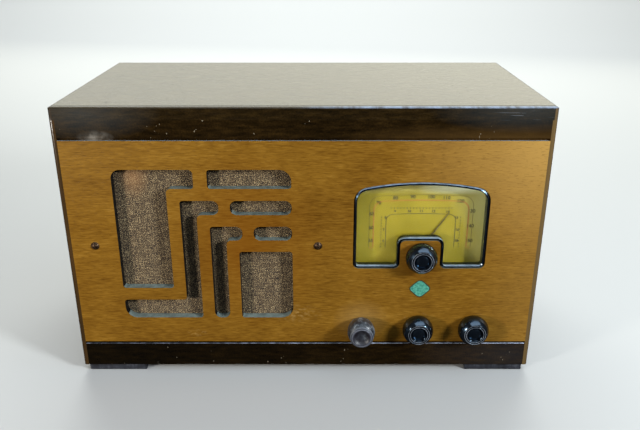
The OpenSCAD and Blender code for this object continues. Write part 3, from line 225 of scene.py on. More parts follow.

# The cabinet's sides, top and rails are one dark brown lacquer over straight-grained wood,
# sprayed and rubbed: glossy, faintly streaked, scratched, and thin on the arrises, where
# highlights and shade are also painted.


def worn_edges(name, width, angle=40):
    """Softens a CAD node's arrises, as sanding and handling do."""
    weld = nodes[name].modifiers.new("weld", "WELD")
    weld.merge_threshold = 0.000005
    soft = nodes[name].modifiers.new("soft_edges", "BEVEL")
    soft.width = width
    soft.segments = 3
    soft.limit_method = "ANGLE"
    soft.angle_limit = math.radians(angle)


RAIL_GRAIN = (60, 260, 260)


def grained(finish, grain, clouds, dark, middle, light):
    """Wood colour under lacquer, its grain following the given scale."""
    specks = finish.noise((700, 700, 700), 2.0)
    shade = finish.noise(grain, 4.0) * 0.45 + clouds * 0.3 + specks * 0.25
    return finish.ramp(shade, (0.36, dark), (0.5, middle), (0.64, light))


def lacquered(name, grain, dark, middle, light, **constants):
    """Lacquer over wood; gives the finish, the wood's colour and the lacquer's clouds."""
    finish = Finish(name, **constants)
    clouds = finish.noise((9, 9, 9), 3.0)
    return finish, grained(finish, grain, clouds, dark, middle, light), clouds


def hazed_ends(finish):
    """The haze at both ends of the dark upper band, which the rail and the lid share."""
    left = finish.patch(at(-205, 0, 272), (0.075, 0.02, 0.028))
    return left + finish.patch(at(205, 0, 274), (0.09, 0.02, 0.022))


rail, wood, clouds = lacquered(
    "lacquer_on_rails",
    RAIL_GRAIN,
    rgb(12, 7, 2),
    rgb(33, 22, 7),
    rgb(54, 38, 15),
    Coat_Weight=0.04,
    Coat_Roughness=0.05,
    Specular_IOR_Level=0.08,
)
# Chips and nicks in the lacquer show pale, and a hazy bloom lies at both of its ends.
nicks = rail.noise((420, 300, 210), 1.0) > 0.77
scars = (rail.noise((50, 50, 50)) > 0.54) * nicks
patchy = rail.span(rail.noise((120, 1, 120), 4.0), 0.42, 0.62, 0.25, 1.0)
bloom = rail.patch(at(-194, 0, 247), (0.019, 0.01, 0.009)) * 0.55
tan = rail.patch(at(190, 0, 248), (0.16, 0.02, 0.014)) * 0.3
across = rail.part(rail.place(), "X")
height = rail.part(rail.place(), "Z")
# The bottom rail is painted darker, most at its left end: painted shade.
low = (height < at(0, 0, 60).z) * rail.span(across, -0.23, 0.2, 0.75, 0.2)
wood = rail.mix(low, wood, rgb(8, 7, 5))
# A bluish grey is mixed in along the bottom rail's right end.
bluish_end = rail.patch(at(215, 0, 12), (0.11, 0.02, 0.04))
wood = rail.mix(bluish_end * 0.07, wood, rgb(120, 122, 132))
wood = rail.mix(scars * 0.45, wood, rgb(190, 176, 150))
wood = rail.mix(tan, wood, rgb(120, 88, 46))
wood = rail.mix(hazed_ends(rail) * 0.12, wood, rgb(132, 144, 148))
wood = rail.mix(bloom * patchy, wood, rgb(176, 168, 156))
# The groove's floor and the arris under it, where they look up, are painted bluish grey: a
# painted highlight, patchy and stronger to the right.
low_arris = (height < at(0, 0, 28).z) * (rail.part(rail.place(), "Y") < at(0, 1.4, 0).y)
highlight_rightward = rail.span(across, at(-120, 0, 0).x, at(70, 0, 0).x, 0.3, 1.0)
rail.set(
    Base_Color=rail.mix((rail.upward() > 0.3) * low_arris * patchy * highlight_rightward, wood, rgb(190, 200, 222)),
    Roughness=rail.span(clouds, 0.3, 0.7, 0.12, 0.26) + scars * 0.3,
)
rail.bump(rail.noise((60, 500, 500), 3.0), 0.00005)
rail.on("top_rail", "bottom_rail")

lid, wood, clouds = lacquered(
    "lacquer_on_lid",
    (9, 150, 150),
    rgb(44, 33, 18),
    rgb(66, 51, 29),
    rgb(88, 70, 42),
    Coat_Roughness=0.1,
    Coat_IOR=1.7,
    Specular_IOR_Level=0.2,
)
streaks = lid.noise((50, 420, 420), 4.0, (0, 0, 0.01), 0.7)
rubs = (lid.noise((40, 1100, 1100), 1.0, (0, 0, 0.12)) > 0.71) * (clouds > 0.5)
dents = (lid.noise((190, 110, 110), 1.0) > 0.77) * (lid.noise((14, 14, 14)) > 0.5)
wood = lid.mix(lid.span(streaks, 0.4, 0.6, 0.0, 0.75), wood, rgb(42, 31, 16))
# The lid's front face is painted as dark as the rail that it meets.
across = lid.part(lid.place(), "X")
depth = lid.part(lid.place(), "Y")
height = lid.part(lid.place(), "Z")
front = depth < at(0, 0.6, 0).y
under = height < at(0, 0, 276.6).z
wood = lid.mix(rubs * 0.35, lid.mix(dents * 0.9, wood, rgb(24, 18, 10)), rgb(190, 180, 160))
dark = grained(lid, RAIL_GRAIN, clouds, rgb(14, 9, 2), rgb(36, 25, 8), rgb(56, 41, 17))
# The lid's wood is painted paler towards the right, a painted sheen of the light from the right, and its
# coat grows the same way.
painted_light = lid.span(across, -0.23, 0.2, 0.0, 0.55)
wood = lid.mix(painted_light * lid.span(streaks, 0.3, 0.6, 1.0, 0.55), wood, rgb(128, 112, 78))
upright = front + under - front * under
# Its ends are hazed as the rail's are. Its front arris is painted brown at the left and a bluish
# painted highlight from the middle to the right.
dark = lid.mix(hazed_ends(lid) * 0.11, dark, rgb(132, 144, 148))
# Scratches run along the right end, and the sides' end grain shows at both ends.
scratches = lid.noise((24, 1, 1500), 1.0, (0, 0.05, 0)) > 0.66
scratches = scratches * lid.patch(at(207, 0, 271), (0.035, 0.02, 0.01))
dark = lid.mix(scratches * 0.7, dark, rgb(150, 158, 168))
END_GRAIN_X = 231.3
# Over the end grain, the right end is painted paler than the left: painted light from the right.
dark = lid.mix((across > at(END_GRAIN_X, 0, 0).x) * front, dark, rgb(108, 88, 62))
dark = lid.mix((across < at(-END_GRAIN_X, 0, 0).x) * front, dark, rgb(62, 52, 42))
high = height > at(0, 0, 276.1).z
arris = (depth < at(0, 5.5, 0).y) * high
highlight_rightward = lid.span(across, at(-10, 0, 0).x, at(55, 0, 0).x)
dashes = lid.span(lid.noise((150, 1, 1)), 0.34, 0.6, 0.35, 1.0)
edge = lid.mix(highlight_rightward * dashes, rgb(60, 50, 30), rgb(138, 152, 174))
# A dark strip without coat runs along the top's front edge: painted shade along the arris.
strip = (depth < at(0, 8.5, 0).y) * high
wood = lid.mix(strip, wood, rgb(46, 34, 20))
dull = upright + strip - upright * strip
lid.set(
    Base_Color=lid.mix(arris, lid.mix(upright, wood, dark), edge),
    Roughness=lid.span(streaks, 0.3, 0.7, 0.14, 0.34),
    Coat_Weight=(1 - dull * 0.95)
    * (1 - dents * 0.5)
    * lid.span(painted_light * 0.7 + lid.span(streaks, 0.3, 0.7, 0.72, 0.54), 0.0, 1.0, 0.0, 1.0),
)
lid.bump(streaks * 0.7 + dents * -0.6, 0.00006)
lid.on("top_panel")

side, wood, clouds = lacquered(
    "lacquer_on_sides",
    (260, 30, 14),
    rgb(38, 24, 10),
    rgb(54, 35, 15),
    rgb(72, 48, 22),
    Coat_Weight=0.25,
    Coat_Roughness=0.12,
    Specular_IOR_Level=0.2,
)
nicks = side.noise((1200, 1200, 60), 1.0) > 0.78
# The sides' front lips are painted a paler brown, much more on the right: thin lacquer, and painted
# light where the right lamp falls.
lip = side.part(side.place(), "Y") < at(0, 0.8, 0).y
right = side.part(side.place(), "X") > 0
wood = side.mix(lip * (right * 0.6 + 0.1), wood, rgb(128, 104, 66))
side.set(
    Base_Color=side.mix(nicks * 0.4, wood, rgb(150, 130, 100)),
    Roughness=side.span(clouds, 0.3, 0.7, 0.14, 0.3),
)
side.bump(side.noise((500, 300, 60), 3.0), 0.00005)
side.on("side_panel_left", "side_panel_right")
for name in ("bottom_rail", "side_panel_left", "side_panel_right"):
    worn_edges(name, 0.0006)

# The bottom board and the glue blocks in the corners are plain softwood, sawn and left raw,
# with runs of brown glue along the blocks.
raw = Finish("raw_softwood", Roughness=0.75)
rings = raw.noise((6, 6, 180), 3.0) * 0.5 + raw.noise((20, 260, 260), 3.0) * 0.5
wood = raw.ramp(rings, (0.35, rgb(150, 112, 66)), (0.5, rgb(184, 146, 92)), (0.65, rgb(206, 172, 120)))
grime = raw.noise((14, 14, 14), 3.0)
raw.set(Base_Color=raw.mix(raw.span(grime, 0.45, 0.75, 0.0, 0.5), wood, rgb(110, 78, 44)))
raw.bump(raw.noise((60, 900, 900), 2.0), 0.0002)
raw.on("bottom_panel", "glue_blocks")

# The front panel is light veneered ply under a worn clear lacquer: fine grain runs across,
# with darker patches. The walls of its openings are painted dark, and its ledges carry dust
# and a painted highlight.
veneer = Finish("veneer", Coat_Weight=0.06, Coat_Roughness=0.15, Specular_IOR_Level=0.1)
fine = veneer.noise((90, 1, 820), 2.0, (0, 0.05, 0), 0.6)
broad = veneer.noise((14, 1, 130), 4.0, (0, -0.08, 0), 0.65)
mottle = veneer.noise((26, 1, 40), 4.0)
clouds = veneer.noise((6, 1, 8), 2.0)
pores = veneer.noise((160, 1, 1300), 1.0, (0, 0.05, 0)) > 0.63
tone = fine * 0.4 + broad * 0.18 + mottle * 0.18 + clouds * 0.24
wood = veneer.ramp(
    tone,
    (0.36, rgb(97, 62, 12)),
    (0.46, rgb(123, 84, 23)),
    (0.54, rgb(138, 97, 29)),
    (0.66, rgb(162, 120, 46)),
)
# The panel is painted paler at its upper right, its right middle and its upper left: partly faded, and
# partly painted light where the lamps fall.
faded_and_lit = veneer.patch(at(235, 0, 245), (0.15, 0.02, 0.12)) * 0.78
faded_and_lit = faded_and_lit + veneer.patch(at(228, 0, 110), (0.06, 0.02, 0.18)) * 0.2
faded_and_lit = faded_and_lit + veneer.patch(at(-215, 0, 240), (0.12, 0.02, 0.08)) * 0.1
wood = veneer.mix(faded_and_lit, wood, rgb(202, 158, 84))
wood = veneer.mix(pores * 0.32, wood, rgb(78, 46, 6))
amber = veneer.patch(at(116, 0, 128), (0.03, 0.02, 0.03))
amber = amber + veneer.patch(at(-60, 0, 140), (0.085, 0.02, 0.1))
wood = veneer.mix(amber * 0.5, wood, rgb(122, 64, 2))
# Pale rings and scuffs in the lacquer, where something wet has stood against it.
scuffs = veneer.patch(at(-10, 0, 62), (0.03, 0.02, 0.012))
scuffs = scuffs + veneer.patch(at(-112, 0, 39), (0.012, 0.02, 0.005))
scuffed = veneer.span(veneer.noise((200, 1, 420), 3.0), 0.46, 0.7)
wood = veneer.mix(scuffs * scuffed * 0.6, wood, rgb(196, 160, 96))
bleached = veneer.patch(at(57.5, 0, 54), (0.03, 0.02, 0.026)) * 0.35
wood = veneer.mix(bleached, wood, rgb(176, 146, 92))
inside = veneer.part(veneer.place(), "Y") > at(0, 0.4, 0).y
ledge = veneer.upward() > 0.6
dust_and_highlight = veneer.span(veneer.noise((160, 160, 160), 3.0), 0.3, 0.7, 0.5, 1.0)
paint = veneer.mix(ledge * dust_and_highlight, rgb(16, 16, 17), rgb(128, 140, 134))
# The panel's upper arris, under the band's groove, is painted bluish: a painted highlight.
arris = veneer.part(veneer.place(), "Z") > at(0, 0, 244.8).z
paint = veneer.mix(arris * dust_and_highlight, paint, rgb(164, 178, 196))
veneer.set(
    Base_Color=veneer.mix(inside, wood, paint),
    Roughness=veneer.span(fine, 0.3, 0.7, 0.32, 0.46),
)
veneer.bump(fine * 0.6 + pores * -0.4, 0.00006)
veneer.on("front_panel")
worn_edges("front_panel", 0.0006)

# Four sawn blocks are the feet, nailed under the corners and brushed with thin dark paint
# that has worn to a dusty grey.
foot = Finish("foot_paint", Roughness=0.55)
wear = foot.noise((60, 60, 200), 3.0) * 0.6 + foot.noise((300, 40, 40), 2.0) * 0.4
foot.set(
    Base_Color=foot.ramp(wear, (0.35, rgb(26, 26, 30)), (0.55, rgb(50, 52, 60)), (0.7, rgb(96, 98, 106)))
)
foot.bump(wear, 0.0003)
foot.on("feet")

# The speaker cloth is a coarse plain weave of brown and cream yarn, stretched over the dark
# baffle board and glued to it. Its yarns are 1.24 mm apart and stand proud in relief.
CLOTH_W, CLOTH_H = 186, 174
CLOTH_X, CLOTH_Y, CLOTH_Z = -98, 9.52, 137
COLUMNS, ROWS = 300, 280
YARN_PROUD = 0.17
cloth_mesh = bmesh.new()
bmesh.ops.create_grid(cloth_mesh, x_segments=COLUMNS, y_segments=ROWS, size=0.5)
for vert in cloth_mesh.verts:
    across, up = vert.co.x * CLOTH_W, vert.co.y * CLOTH_H
    column, row = round((vert.co.x + 0.5) * COLUMNS), round((vert.co.y + 0.5) * ROWS)
    over = 1 if (column // 2 + row // 2) % 2 else -1
    crown = YARN_PROUD if column % 2 and row % 2 else 0.0
    slub = 0.05 * math.sin(row * 0.9 + 3 * math.sin(column * 0.05))
    vert.co = at(CLOTH_X + across, CLOTH_Y - over * crown + slub, CLOTH_Z + up)
cloth = Finish("speaker_cloth", Roughness=0.9, Sheen_Weight=0.25, Sheen_Roughness=0.5)
weft = cloth.noise((120, 1, 810), 1.0)
warp = cloth.noise((810, 1, 120), 1.0)
fleck = cloth.noise((1250, 1, 1250), 1.0)
slubs = cloth.noise((14, 1, 400), 2.0) > 0.68
yarn = weft * 0.14 + warp * 0.14 + fleck * 0.72
cloth_colour = cloth.ramp(
    yarn,
    (0.39, rgb(10, 7, 3)),
    (0.46, rgb(54, 38, 19)),
    (0.54, rgb(100, 77, 47)),
    (0.62, rgb(194, 170, 126)),
)
# A paler patch at the cloth's upper left is painted light falling into the big opening.
painted_light = cloth.patch(at(-165, 9, 208), (0.016, 0.02, 0.025)) * 0.5
cloth_colour = cloth.mix(painted_light, cloth_colour, rgb(176, 128, 78))
cloth.set(Base_Color=cloth.mix(slubs * 0.5, cloth_colour, rgb(60, 48, 34)))
cloth.bump(fleck, 0.0003)
cloth_data = bpy.data.meshes.new("speaker_cloth")
bmesh.ops.recalc_face_normals(cloth_mesh, faces=cloth_mesh.faces)
if next(iter(cloth_mesh.faces)).normal.y > 0:
    bmesh.ops.reverse_faces(cloth_mesh, faces=cloth_mesh.faces)
cloth_mesh.to_mesh(cloth_data)
cloth_mesh.free()
cloth_data.materials.append(cloth.material)
speaker_cloth = bpy.data.objects.new("speaker_cloth", cloth_data)
scene.collection.objects.link(speaker_cloth)
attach(speaker_cloth, "cabinet")
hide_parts("grille_cloth")

# The baffle is plywood stained black, so that it doesn't show through the cloth.
board = Finish("baffle_stain", Roughness=0.7)
plies = board.noise((40, 300, 40), 3.0)
board.set(Base_Color=board.ramp(plies, (0.35, rgb(30, 24, 18)), (0.65, rgb(62, 50, 36))))
board.bump(board.noise((500, 500, 40), 2.0), 0.0002)
board.on("baffle_board")

# Two slotted round-headed screws go through the front panel into the baffle, bronzed dark
# and rubbed bare on the crowns.
bronzed = Finish("bronzed_screw", Metallic=0.75)
rub = bronzed.noise((700, 700, 700), 3.0)
bronzed.set(
    Base_Color=bronzed.ramp(
        rub, (0.4, rgb(40, 27, 18)), (0.6, rgb(84, 62, 42)), (0.75, rgb(140, 116, 86))
    ),
    Roughness=bronzed.span(rub, 0.3, 0.7, 0.35, 0.55),
)
bronzed.bump(rub, 0.0001)
bronzed.on("baffle_screws")

# The dial plate is sheet metal sprayed a pale yellow that has aged to mustard. Its top and
# right are painted paler, a painted reflection of the window glass, and it glows a little:
# painted light that softens the shade in its window.
dial = Finish("dial_paint", Roughness=0.5, Specular_IOR_Level=0.15, Emission_Strength=0.15)
age = dial.noise((18, 18, 18), 3.0)
paint = dial.ramp(age, (0.35, rgb(117, 102, 26)), (0.5, rgb(126, 111, 32)), (0.65, rgb(136, 120, 38)))
# A pale band under the window's top edge, towards the right: a painted reflection of the glass.
high = dial.span(dial.part(dial.place(), "Z"), at(0, 0, 187).z, at(0, 0, 193).z)
high = high * dial.span(dial.part(dial.place(), "X"), at(110, 0, 0).x, at(150, 0, 0).x, 0.1, 1.0)
paint = dial.mix(high * 0.8, paint, rgb(206, 208, 188))
# Paler patches at the upper right corner and the right edge: painted reflection of the glass.
corner = dial.patch(at(184, 13, 192), (0.045, 0.05, 0.05))
edge = dial.patch(at(192, 13, 150), (0.035, 0.05, 0.09))
paint = dial.mix(corner * 0.6 + edge * 0.8, paint, rgb(166, 160, 110))
# The emission is painted light: the plate glows though no lamp is lit.
dial.set(
    Base_Color=paint,
    Emission_Color=paint,
    Roughness=dial.span(age, 0.3, 0.7, 0.4, 0.6),
)
dial.bump(dial.noise((900, 900, 900), 2.0), 0.00003)
dial.on("dial_plate")

# The scales are silk-screened on the plate: a red line with large numbers for the broadcast
# band, and inside it a black line with small ones and dots for short waves.


def piece(name, mesh, finish, body="cabinet", angle=30, replaces=()):
    """Makes an object of a bmesh drawn in cabinet millimetres, and rides it on a body."""
    bmesh.ops.remove_doubles(mesh, verts=mesh.verts, dist=0.0005)
    bmesh.ops.recalc_face_normals(mesh, faces=mesh.faces)
    mesh.transform(Matrix.Translation(at(0, 0, 0)) @ Matrix.Scale(0.001, 4))
    data = bpy.data.meshes.new(name)
    mesh.to_mesh(data)
    mesh.free()
    data.shade_smooth()
    data.set_sharp_from_angle(angle=math.radians(angle))
    data.materials.append(finish.material)
    thing = bpy.data.objects.new(name, data)
    scene.collection.objects.link(thing)
    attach(thing, body)
    if replaces:
        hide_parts(*replaces)
    return thing


DIAL_X = 115.6
PRINT_Y = 13.2


def arch(mesh, half, top, foot, corner, rise, width):
    """Prints a line up one side of the dial, over its top and down the other side."""
    edge = []
    for i in range(9):
        turn = math.radians(i * 11.25)
        edge.append((half - corner + corner * math.cos(turn), top - corner + corner * math.sin(turn)))
    for i in range(1, 7):
        x = (half - corner) * (1 - i / 6)
        edge.append((x, top + rise * (1 - (x / (half - corner)) ** 2)))
    path = [(half, foot)] + edge
    path += [(-x, z) for x, z in reversed(path[:-1])]
    verts = [mesh.verts.new((DIAL_X + x, PRINT_Y, z)) for x, z in path]
    edges = [mesh.edges.new(pair) for pair in zip(verts, verts[1:])]
    out = bmesh.ops.extrude_edge_only(mesh, edges=edges)
    moved = {v for v in out["geom"] if isinstance(v, bmesh.types.BMVert)}
    for v in moved:
        x, z = v.co.x - DIAL_X, v.co.z
        away = Vector((x * 0.25, z - top + corner)).normalized()
        if z <= top - corner:
            away = Vector((math.copysign(1, x), 0))
        v.co.x -= away.x * width
        v.co.z -= away.y * width


def upright_at(x, z):
    """Stands flat print up on the dial, at a place from the dial's middle."""
    return Matrix.Translation((DIAL_X + x, PRINT_Y, z)) @ Matrix.Rotation(math.pi / 2, 4, "X")


def ticks(mesh, places, size):
    """Prints small square dots."""
    for x, z in places:
        spot = upright_at(x, z)
        bmesh.ops.create_grid(mesh, x_segments=1, y_segments=1, size=size / 2, matrix=spot)


def number(text, x, z, height, name):
    """Prints one number, centred on a place on the dial."""
    curve = bpy.data.curves.new(name, "FONT")
    curve.body = text
    curve.size = height * 1.4
    curve.align_x = "CENTER"
    curve.align_y = "CENTER"
    curve.resolution_u = 3
    curve.offset = 0.22
    stand_in = bpy.data.objects.new(name, curve)
    flat = bpy.data.meshes.new_from_object(stand_in)
    bpy.data.objects.remove(stand_in)
    flat.transform(upright_at(x, z))
    return flat


def ink(name, colour):
    """Screen-printing ink, thin in places."""
    finish = Finish(name, Roughness=0.6)
    thin = finish.noise((1500, 1500, 1500), 2.0)
    finish.set(Base_Color=finish.mix(finish.span(thin, 0.45, 0.75, 0.0, 0.4), colour, rgb(134, 118, 40)))
    return finish


SCALE_FOOT = 130.5
red_print = bmesh.new()
arch(red_print, 47.5, 180.9, SCALE_FOOT, 10, 1.2, 1.1)
ticks(red_print, [(x, 130.2) for x in (-49.5, 49.5)], 1.6)
piece("dial_red_lines", red_print, ink("red_ink", rgb(146, 84, 30)))

black_print = bmesh.new()
arch(black_print, 51.5, 186.2, SCALE_FOOT, 11, 1.2, 0.45)
arch(black_print, 35.0, 166.9, SCALE_FOOT, 7, 0.8, 0.8)
rows = [131.5 + 3.2 * i for i in range(11)]
columns = [-30 + 3.16 * i for i in range(20)]
dots = [(x, z) for x in (-39.3, 39.3) for z in rows] + [(x, 173.3) for x in columns]
ticks(black_print, dots, 1.3)
scale_numbers = [
    ("55", -49.2, 138), ("60", -49.2, 152), ("65", -48.8, 167), ("70", -42.5, 178.6),
    ("80", -26, 183.8), ("90", -9, 185), ("100", 9, 185), ("110", 24, 183.9),
    ("120", 38, 180.5), ("130", 49.6, 170), ("140", 49.4, 154), ("150", 49.4, 138),
]
short_numbers = [
    ("6", -36.7, 138), ("7", -36.7, 150), ("8", -35.2, 163), ("9", -26, 169.4),
    ("10", -12, 169.8), ("11", 0, 169.9), ("12", 12, 169.8), ("14", 26, 169.4),
    ("15", 35.2, 163), ("16", 36.7, 150), ("18", 36.7, 138),
]
for name, height, numbers in (
    ("scale_number", 3.6, scale_numbers),
    ("short_number", 2.7, short_numbers),
):
    for i, (text, x, z) in enumerate(numbers):
        black_print.from_mesh(number(text, x, z, height, f"{name}_{i}"))
piece("dial_black_lines", black_print, ink("black_ink", rgb(60, 52, 18)))

# The pointer is a sliver of spring steel on the drive's hub, painted brown. The magnet and
# the transformers are blackened steel.
brown_paint = Finish("pointer_paint", Roughness=0.5)
chipped = brown_paint.noise((400, 400, 400), 3.0)
brown_paint.set(Base_Color=brown_paint.ramp(chipped, (0.4, rgb(72, 58, 22)), (0.7, rgb(104, 88, 40))))
brown_paint.bump(chipped, 0.00003)
brown_paint.on("dial_pointer")

black_steel = Finish("blackened_steel", Metallic=0.4)
scuff = black_steel.noise((220, 220, 220), 3.0)
black_steel.set(
    Base_Color=black_steel.ramp(
        scuff, (0.35, rgb(22, 22, 24)), (0.6, rgb(38, 38, 40)), (0.8, rgb(84, 80, 74))
    ),
    Roughness=black_steel.span(scuff, 0.3, 0.7, 0.3, 0.5),
)
black_steel.bump(black_steel.noise((900, 900, 900), 2.0), 0.00003)
black_steel.on("speaker_magnet", "output_transformer", "power_transformer")

# The dial's window is plain sheet glass held behind the panel by the plate.


def glass(name, silver=None, **constants):
    """Clear glass that lets the studio's light through; silver marks a metal film on it."""
    finish = Finish(name, Transmission_Weight=1.0, **constants)
    smears = finish.noise((25, 25, 60), 3.0)
    finish.set(Roughness=finish.span(smears, 0.4, 0.8, 0.01, 0.08))
    clear = finish.node("BsdfTransparent", {}, {})
    shade = finish.node("LightPath", {}, {}, "Is Shadow Ray")
    if silver:
        film = silver(finish)
        finish.set(Metallic=film, Base_Color=finish.mix(film, rgb(246, 250, 250), rgb(150, 146, 140)))
        shade = shade * (1 - film)
    lit = Socket(finish, finish.shader.outputs[0])
    mixed = finish.node("MixShader", {}, {0: shade, 1: lit, 2: clear})
    finish.put(finish.tree.nodes["Material Output"].inputs["Surface"], mixed)
    return finish


glass("window_glass", IOR=1.2, Base_Color=rgb(246, 250, 240)).on("dial_glass")

# The escutcheon is a black bakelite rim pressed into the window's edge, with a rolled lip
# that stands just proud of the veneer.
bakelite = Finish(
    "black_bakelite",
    IOR=2.0,
    Specular_IOR_Level=0.5,
    Specular_Tint=(0.42, 0.7, 1.0, 1.0),
    Coat_Roughness=0.1,
    Coat_IOR=2.0,
)
handled = bakelite.noise((120, 120, 120), 3.0)
dusty = bakelite.noise((900, 900, 900), 2.0)
black = bakelite.ramp(
    handled * 0.7 + dusty * 0.3, (0.4, rgb(5, 5, 8)), (0.6, rgb(9, 9, 13)), (0.8, rgb(34, 34, 40))
)
# The knobs' ring crowns are painted pale grey. Only faces that look forward and up keep
# their polish.
depth = bakelite.part(bakelite.place(), "Y")
up = bakelite.upward()
forward = bakelite.facing("Y")
crowns = depth < at(0, -16.95, 0).y
black = bakelite.mix(crowns * bakelite.span(handled, 0.35, 0.65, 0.3, 0.9), black, rgb(168, 174, 184))
# Dust and a painted bluish highlight lie on the escutcheon's sills.
sill = (up > 0.5) * (depth > at(0, -0.7, 0).y) * (depth < at(0, 3.0, 0).y)
dust_and_highlight = sill * bakelite.span(handled, 0.3, 0.65, 0.4, 1.0)
bakelite.set(
    Base_Color=bakelite.mix(dust_and_highlight, black, rgb(150, 166, 184)),
    Roughness=bakelite.span(handled, 0.3, 0.7, 0.12, 0.26),
    Coat_Weight=bakelite.span(up, 0.0, 0.45, 0.02, 0.55)
    * bakelite.span(up, 0.75, 0.95, 1.0, 0.1)
    * bakelite.span(forward, -0.2, -0.55)
    * bakelite.span(forward, -0.84, -0.78, 0.05, 1.0)
    * (1 - sill),
)
bakelite.bump(handled * 0.8 + dusty * 0.2, 0.00004)
bakelite.on("dial_escutcheon", "tube_bases")
worn_edges("dial_escutcheon", 0.0011)

# The three black knobs are turned-looking bakelite mouldings: a full dome, and two thin rings
# round a low boss. Each is pushed on its shaft, with a spring in the bore.
BORE = 3.05
BORE_DEPTH = 10.8
KNOB_ROW_Z = 46


def round_knob(name, x, z, outline, finish, slot, body, node):
    """Spins a knob's outline, from its bore's mouth round to the middle of its face."""
    mesh = bmesh.new()
    path = [(0.0, BORE_DEPTH), (BORE, BORE_DEPTH), (BORE, 0.0), *outline, (0.0, outline[-1][1])]
    verts = [mesh.verts.new((r, -1 - h, 0)) for r, h in path]
    edges = [mesh.edges.new(pair) for pair in zip(verts, verts[1:])]
    bmesh.ops.spin(
        mesh,
        geom=verts + edges,
        cent=(0, 0, 0),
        axis=(0, 1, 0),
        angle=math.tau,
        steps=96,
        use_merge=True,
    )
    bmesh.ops.translate(mesh, verts=mesh.verts, vec=(x, 0, z))
    return piece(name, mesh, finish, body, 28, (node,))


def ball(centre_r, centre_h, radius, first, last, steps):
    """Points round part of a circle in a knob's outline, in degrees from straight out."""
    turns = [math.radians(first + (last - first) * i / steps) for i in range(steps + 1)]
    return [(centre_r + radius * math.cos(t), centre_h + radius * math.sin(t)) for t in turns]


black_outline = [(13.9, 0.0), *ball(3.2, 5.8, 12.5, -26, 50, 16)]
black_outline += [(11.05, 15.3), (11.05, 15.7)]
black_outline += [*ball(10.65, 15.6, 0.42, 20, 160, 5), (10.2, 15.2)]
black_outline += [(9.2, 15.1), (9.2, 15.7), *ball(8.8, 15.6, 0.42, 20, 160, 5)]
black_outline += [(8.3, 14.2), (7.7, 13.3), *ball(0, 1.5, 14, 57.2, 88, 8)]
for name, x, z, body, node in (
    ("tuning_cap", 115.5, 127.5, "tuning_knob", "tuning_knob"),
    ("tone_cap", 116, KNOB_ROW_Z, "tone", "tone_knob"),
    ("band_cap", 173, KNOB_ROW_Z, "band", "band_knob"),
):
    round_knob(name, x, z, black_outline, bakelite, "bakelite", body, node)

# The volume knob is an old replacement in grey moulded rubber compound gone chalky: a barrel,
# a waist and a rolled rim round a bowl.
chalk = Finish("chalky_moulding", Coat_Roughness=0.25)
bloom = chalk.noise((150, 150, 150), 4.0, (0, 0, 0), 0.65)
specks = chalk.noise((1300, 1300, 1300), 1.0)
grey = chalk.ramp(
    bloom * 0.75 + specks * 0.25,
    (0.36, rgb(18, 20, 24)),
    (0.48, rgb(40, 45, 52)),
    (0.56, rgb(64, 71, 79)),
    (0.68, rgb(146, 152, 154)),
)
# Its front is painted in rings round its axis: pale on two ridges, dark between them and in
# the bowl.
VOLUME_X = 57.5
inward = chalk.patch(at(VOLUME_X, -20, KNOB_ROW_Z), (0.012, 10, 0.012))
ridges = chalk.ramp(
    inward,
    (0.03, rgb(122, 128, 138)),
    (0.11, rgb(30, 32, 40)),
    (0.18, rgb(130, 132, 144)),
    (0.27, rgb(52, 50, 60)),
    (0.4, rgb(34, 28, 34)),
)
front = chalk.span(chalk.part(chalk.place(), "Y"), at(0, -19, 0).y, at(0, -20, 0).y)
chalk.set(
    Base_Color=chalk.mix(front * chalk.span(bloom, 0.3, 0.6, 0.9, 0.6), grey, ridges),
    Roughness=chalk.span(bloom, 0.3, 0.7, 0.35, 0.6),
    Coat_Weight=chalk.span(chalk.upward(), 0.0, 0.6, 0.1, 0.6) * (1 - front * 0.85),
)
chalk.bump(bloom * 0.5 + specks * 0.5, 0.00012)
grey_outline = [(11.9, 0.0), (12.7, 1.2), (13.4, 3.8), (13.9, 7.0), (14.0, 10.0)]
grey_outline += [(13.7, 12.4), (12.9, 14.6), (11.8, 16.2), (10.7, 17.1), (10.9, 17.6)]
grey_outline += [*ball(9.9, 19.5, 1.9, -60, 70, 9), (10.1, 21.1), (9.6, 21.1), (9.3, 21.55)]
grey_outline += [(8.5, 21.5), (7.9, 20.9), (7.0, 19.9), (5.6, 19.2), (4.0, 18.8), (2.2, 18.6)]
place = (VOLUME_X, KNOB_ROW_Z)
round_knob("volume_cap", *place, grey_outline, chalk, "knob_grey", "volume", "volume_knob")

# A plain teal lozenge with a thin dark line is set on the veneer under the tuning knob.
lozenge = Finish("teal_transfer", Roughness=0.35)
flaking = lozenge.noise((500, 500, 500), 3.0)
lozenge.set(
    Base_Color=lozenge.ramp(
        flaking, (0.3, rgb(46, 112, 98)), (0.5, rgb(82, 164, 142)), (0.7, rgb(106, 186, 162))
    )
)
lozenge.bump(flaking, 0.00005)
line = ink("transfer_line", rgb(40, 44, 34))


